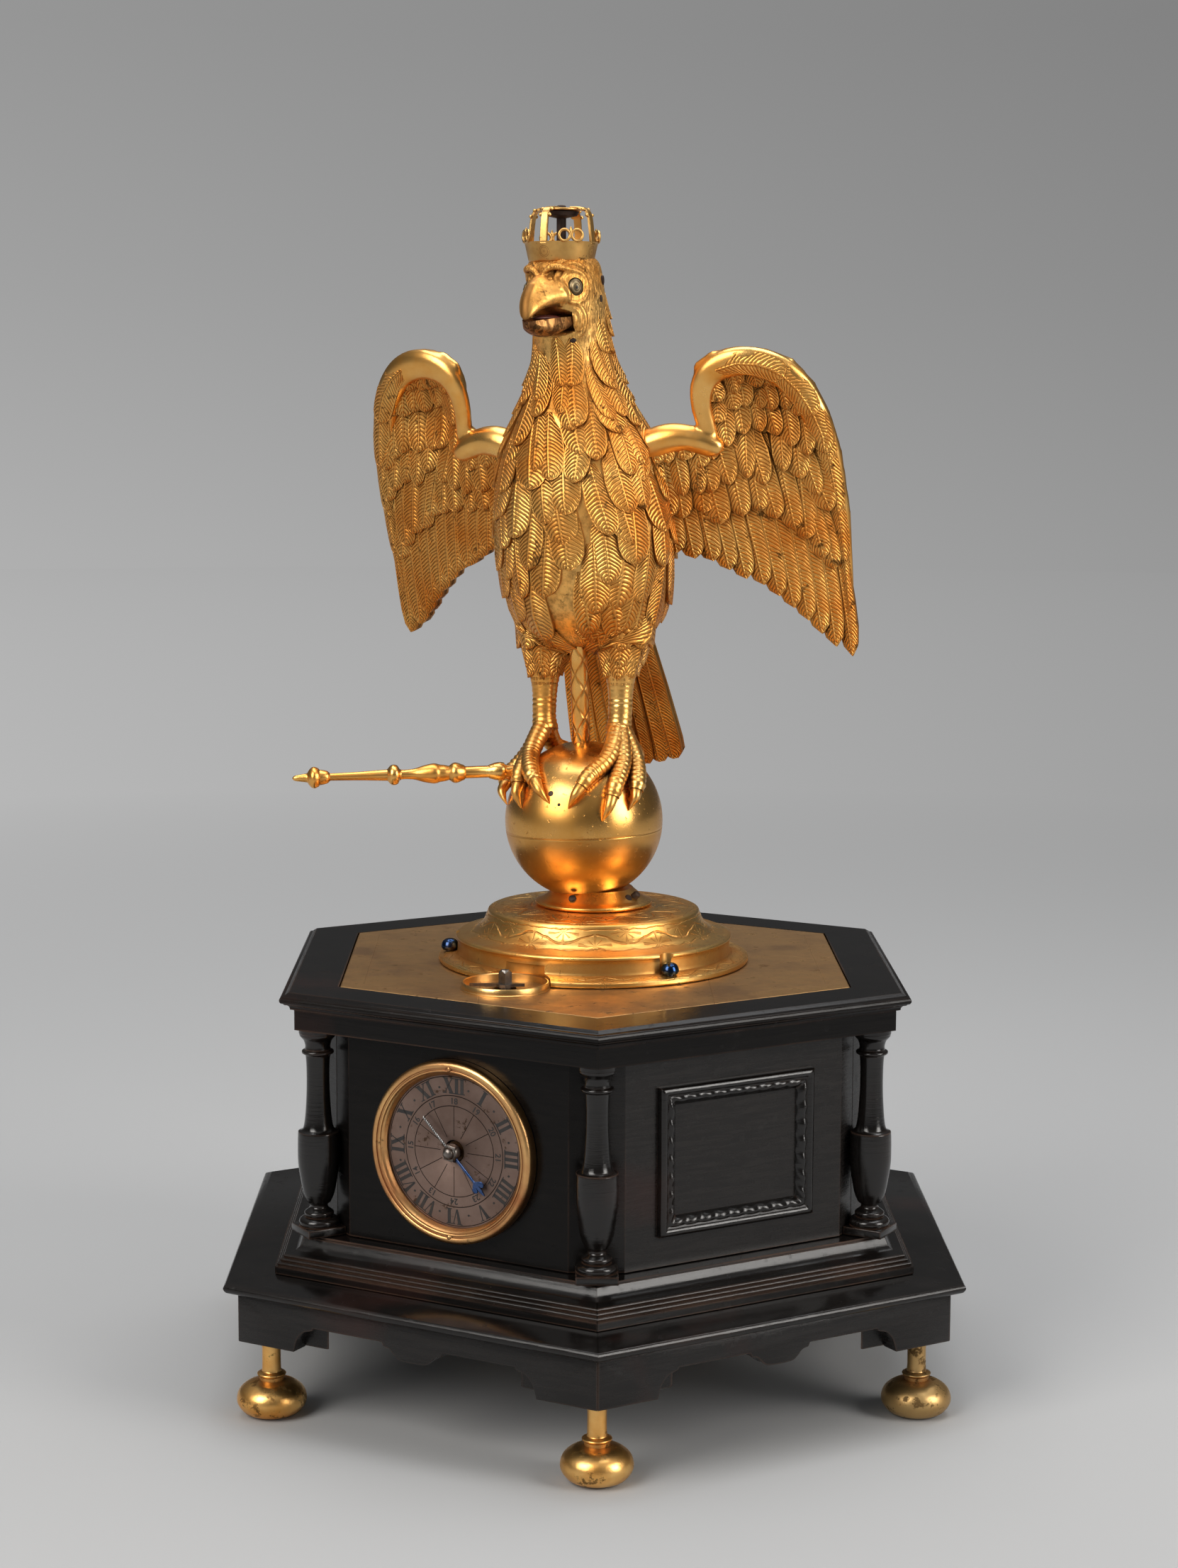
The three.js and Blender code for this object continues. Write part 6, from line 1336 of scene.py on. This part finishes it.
LAYERS = [
    ([(76.5, -33), (69, -27), (62, -22.5), (55, -19.5), (48, -19), (41, -19), (34, -19), (27, -19)], 11, 27,
     3.9, 0.4),
    ([(75.5, -16), (67, -11), (59, -8.5), (51, -9), (43, -11), (35, -12), (26, -11)], 11, 19, 3.7, 0.8),
    ([(73.5, -3), (66, 1), (59, 2), (52, 1), (45, -1), (38, -4), (31, -4), (24, -4)], 12, 15, 3.4, 1.2),
    ([(70, 8), (64, 11.5), (57, 12), (50, 11), (44, 8)], 8, 12, 3.1, 1.6),
    ([(64, 17.5), (58, 19.5), (51, 18.5), (45, 15.5)], 7, 9, 2.7, 1.9),
]
ROLL_STEP = 14.5
for name, mirror, roll_start, upper, lower in (("left", 1, 34, 0.94, 1.06), ("right", -1, 52, 1.03, 0.95)):
    plumage = ([], [], [])
    for side, widest, margin, layers in ((1, 75.5, 1.5, LAYERS), (-1, 72, 5.0, LAYERS[:3])):
        for i, (tip, quill) in enumerate(zip(along_line(FLIGHT_TIPS, 12), along_line(QUILLS, 12))):
            run = tip - quill
            wing_feather(plumage, tip, math.atan2(run.x, -run.y), run.length * 1.02, 3.9 if i else 3.2, 0.0,
                         side, FLIGHT, 0.7, 2.4, 0.6)
        for tips, number, length, half_width, lift in layers:
            for tip in along_line(tips, number):
                x, z = tip.x + chance.uniform(-1.0, 1.0), tip.y + chance.uniform(-2.2, 2.2)
                x = min(x, widest)
                reach = min(length, headroom(x) - z - margin)
                lean = 0.1 + 0.16 * (x - 25) / 55 + chance.uniform(-0.16, 0.16)
                wing_feather(plumage, (x, z), lean, max(6.0, reach), half_width * chance.uniform(0.78, 1.12),
                             lift + chance.uniform(-0.15, 0.2), side, FLIGHT if length > 20 else LEAF)
    stations = ROLL[roll_start:]
    for number in range(math.ceil((line_length(stations) - 9) / ROLL_STEP)):
        roll_feather(plumage, stations, number * ROLL_STEP)
    wing = copied(wing_cast, f"wing_cast_{name}")
    feathers = feathered(f"wing_plumage_{name}", plumage)
    for piece in (wing, feathers):
        for vertex in piece.data.vertices:
            vertex.co.z *= upper if vertex.co.z > 0 else lower
        piece.data.transform(Matrix.Diagonal((mirror, 1, 1, 1)) @ WING)
        if mirror == -1:
            piece.data.flip_normals()
    knuckle = drum(0, 0, -2.5, 2.5, 4.8, 32)
    knuckle.data.transform(Matrix.Translation((mirror * 17.5, 6.6, 112)) @ turn(90, "X"))
    fitted(joined(wing, knuckle), EAGLE, polished_gilding, f"wing_{name}", f"{name}_wing")
    fitted(feathers, EAGLE, feather_gilding, None, f"{name}_wing")
bpy.data.objects.remove(wing_cast)

# Tail: a cast fan of seven long feathers, chased on both faces.
# It is pinned under the back.
TAIL_BLADE = (0.7, 0.86, 0.98, 1.0, 1.0, 0.9, 0.45)
TAIL_SEAT = Matrix.Translation((0, 17.5, 63)) @ turn(22.4, "X")
TAIL_SPREAD = 36.8 / 7.4


def tail_feather(plumage, away_from_middle, side):
    root = Vector((away_from_middle * 3.4, 3.0))
    run = Vector((away_from_middle * TAIL_SPREAD, -54 + 0.28 * away_from_middle ** 2)) - root
    layer = 0.42 * (3 - abs(away_from_middle))

    def place(along, across, height):
        spot = root + run * along + Vector((-run.y, run.x)).normalized() * (across * 3.9 * side)
        level = height if side == 1 else 2 * layer - height - 1.0
        return TAIL_SEAT @ Vector((spot.x, -0.006 * spot.x ** 2 - layer - level, spot.y))
    add_feather(plumage, place, run.length, TAIL_BLADE, 0.5, 1.0, 0.8, 1.8)


plumage = ([], [], [])
for number in (-3, 3, -2, 2, -1, 1, 0):
    for side in (1, -1):
        tail_feather(plumage, number, side)
fitted(feathered("tail_fan", plumage), EAGLE, feather_gilding, "tail")

# Crown: a gilt brass band with engraved circles, four strap arches with little beads and a flat top ring,
# and pairs of scroll rings between them; a dark iron rod stands in the middle.
CROWN = shift(-10.1, 0.6, 328.8) @ turn(-30)


def band_circles(place):
    """Two rings round a point, eight times round the band."""
    centred = add_node(place.id_data, "Mapping", {"Vector": place, "Location": (0.0101, -0.0006, -0.3316)})
    x, y, z = parts(centred)
    around = scaled(bearing(y, x), 4 / math.tau, 4 + 0.5 - 60 / 90)
    reach = hypotenuse(times(minus(fraction(around), 0.5), 0.0159), z)
    circles = [under(away(reach, ring), 0.00011) for ring in (0.00115, 0.0016)]
    line = largest([under(reach, 0.00022)] + circles)
    return times(line, 0.5), times(line, -0.00012)


crown_gilding = gilt_finish("crown_gilding", (0.84, 0.52, 0.17), (0.5, 0.25, 0.07), (0.13, 0.045, 0.012),
                            0.31, 0.003, 0.6, pattern=band_circles)
band_line = eased([(8.45, 0, 0), (9.25, 0, 0), (9.6, 0.6, 1), (10.5, 4.6, 1), (10.85, 5.7, 0),
                   (10.15, 5.7, 0), (8.45, 0.1, 0)])
top_line = eased([(1.45, 14.75, 0), (5.9, 14.75, 0), (6.3, 14.9, 1), (6.3, 15.2, 1), (5.9, 15.4, 1),
                  (1.45, 15.3, 0)])
bead_line = eased([(0, -0.55, 0), (0.48, -0.3, 1), (0.55, 0, 1), (0.48, 0.3, 1), (0, 0.55, 0)], 3)
arch_line = eased([(10.4, 5.0, 1), (10.2, 7.5, 1), (9.9, 10.5, 1), (9.5, 12.9, 1), (8.8, 14.4, 1),
                   (7.5, 15.2, 1), (5.2, 15.5, 1), (3.4, 15.55, 1)], 5)
STRAP_SECTION = ((-1.15, -0.35), (-1.15, 0.15), (-0.95, 0.35), (0.95, 0.35), (1.15, 0.15), (1.15, -0.35))
SCROLL_SPOT = 10.55
crown = [spun("engraved_crown", band_line, 96, closed=True), spun("crown_top", top_line, 64, closed=True)]
for quarter in range(4):
    rings = []
    for k, point in enumerate(arch_line):
        run = (arch_line[min(k + 1, len(arch_line) - 1)] - arch_line[max(k - 1, 0)]).normalized()
        rings.append([(point.x + run.y * out, wide, point.y - run.x * out) for wide, out in STRAP_SECTION])
    strap = [lofted("crown_strap", rings, 40)]
    for share in (0.46, 0.66):
        point = arch_line[round(share * (len(arch_line) - 1))]
        for side in (-1, 1):
            strap.append(spun("crown_bead", bead_line, 12))
            strap[-1].data.transform(Matrix.Translation((point.x, side * 1.5, point.y)))
    scrolls = [limb("scroll", [(SCROLL_SPOT, side * 1.9 + 1.6 * math.sin(a), 7.35 - 1.6 * math.cos(a), 0.42)
                               for a in steps_round(20) + [math.tau]], 0.4, 8) for side in (-1, 1)]
    scrolls.append(limb("scroll_peak", [(SCROLL_SPOT, 0, 6.4, 0.3), (SCROLL_SPOT, 0, 8.4, 0.55),
                                        (SCROLL_SPOT, 0, 9.2, 0.42), (10.5, 0, 9.8, 0.1)], 0.3, 8))
    for scroll in scrolls:
        scroll.data.transform(turn(45))
    crown.append(joined(*strap, *scrolls))
    crown[-1].data.transform(turn(90 * quarter))
fitted(joined(*crown), CROWN, crown_gilding, "crown")
rod_line = eased([(0, 0.3, 0), (1.4, 0.3, 0), (1.4, 12.6, 0), (4.6, 13.3, 0), (5.2, 14.5, 0), (1.4, 14.7, 0),
                  (1.4, 15.8, 0), (1.2, 16.2, 1), (0.6, 16.4, 1), (0, 16.4, 0)])
fitted(spun("crown_iron_rod", rod_line, 20, smooth=30), CROWN, rusty_iron, "crown_rod")

# Sceptre: a gilt brass rod turned with rings, balusters and an acorn tip.
# It is held level in the right claw.
sceptre_line = eased([
    (0, 0, 0), (0.75, 0.7, 1), (1.15, 3, 1), (1.4, 4.4, 1), (2.0, 4.8, 0), (2.9, 5.6, 1), (3.2, 6.5, 1),
    (2.8, 7.6, 1), (2.3, 8.1, 0), (2.15, 9.2, 1), (1.8, 10.4, 1), (1.2, 11.1, 1), (1.08, 11.8, 1),
    (1.3, 20, 1), (1.7, 28, 0), (2.05, 28.3, 0), (2.8, 29, 1), (3.05, 29.9, 1), (2.75, 31, 1),
    (1.8, 31.6, 0), (1.45, 32.2, 1), (1.45, 34.2, 1), (1.7, 36.2, 1), (2.4, 38.5, 1), (2.85, 40.6, 1),
    (3.0, 41.7, 0), (2.9, 42.6, 0), (2.6, 43.5, 1), (2.4, 45, 1), (2.1, 46.2, 0), (2.35, 46.6, 0),
    (2.85, 47.3, 1), (3.05, 48.2, 1), (2.8, 49.2, 1), (2.5, 49.9, 0), (2.25, 50.6, 0), (1.8, 51.1, 0),
    (1.78, 52, 0), (1.78, 57.8, 0), (2.05, 58.2, 0), (2.3, 59, 1), (2.6, 60, 1), (2.75, 61.5, 1),
    (2.5, 62.6, 0), (1.9, 63.2, 1), (1.6, 66.5, 1), (0, 67.2, 0)], 4)
tip, butt = Vector((-86, -10, 13.5)), Vector((-18.6, -3.7, 15.2))
aim = (butt - tip).to_track_quat("Z", "Y").to_matrix().to_4x4()
seat = shift(-3, 0, 164.9) @ shift(*tip) @ aim
fitted(spun("turned_sceptre", sceptre_line, 40), seat, polished_gilding, "sceptre")
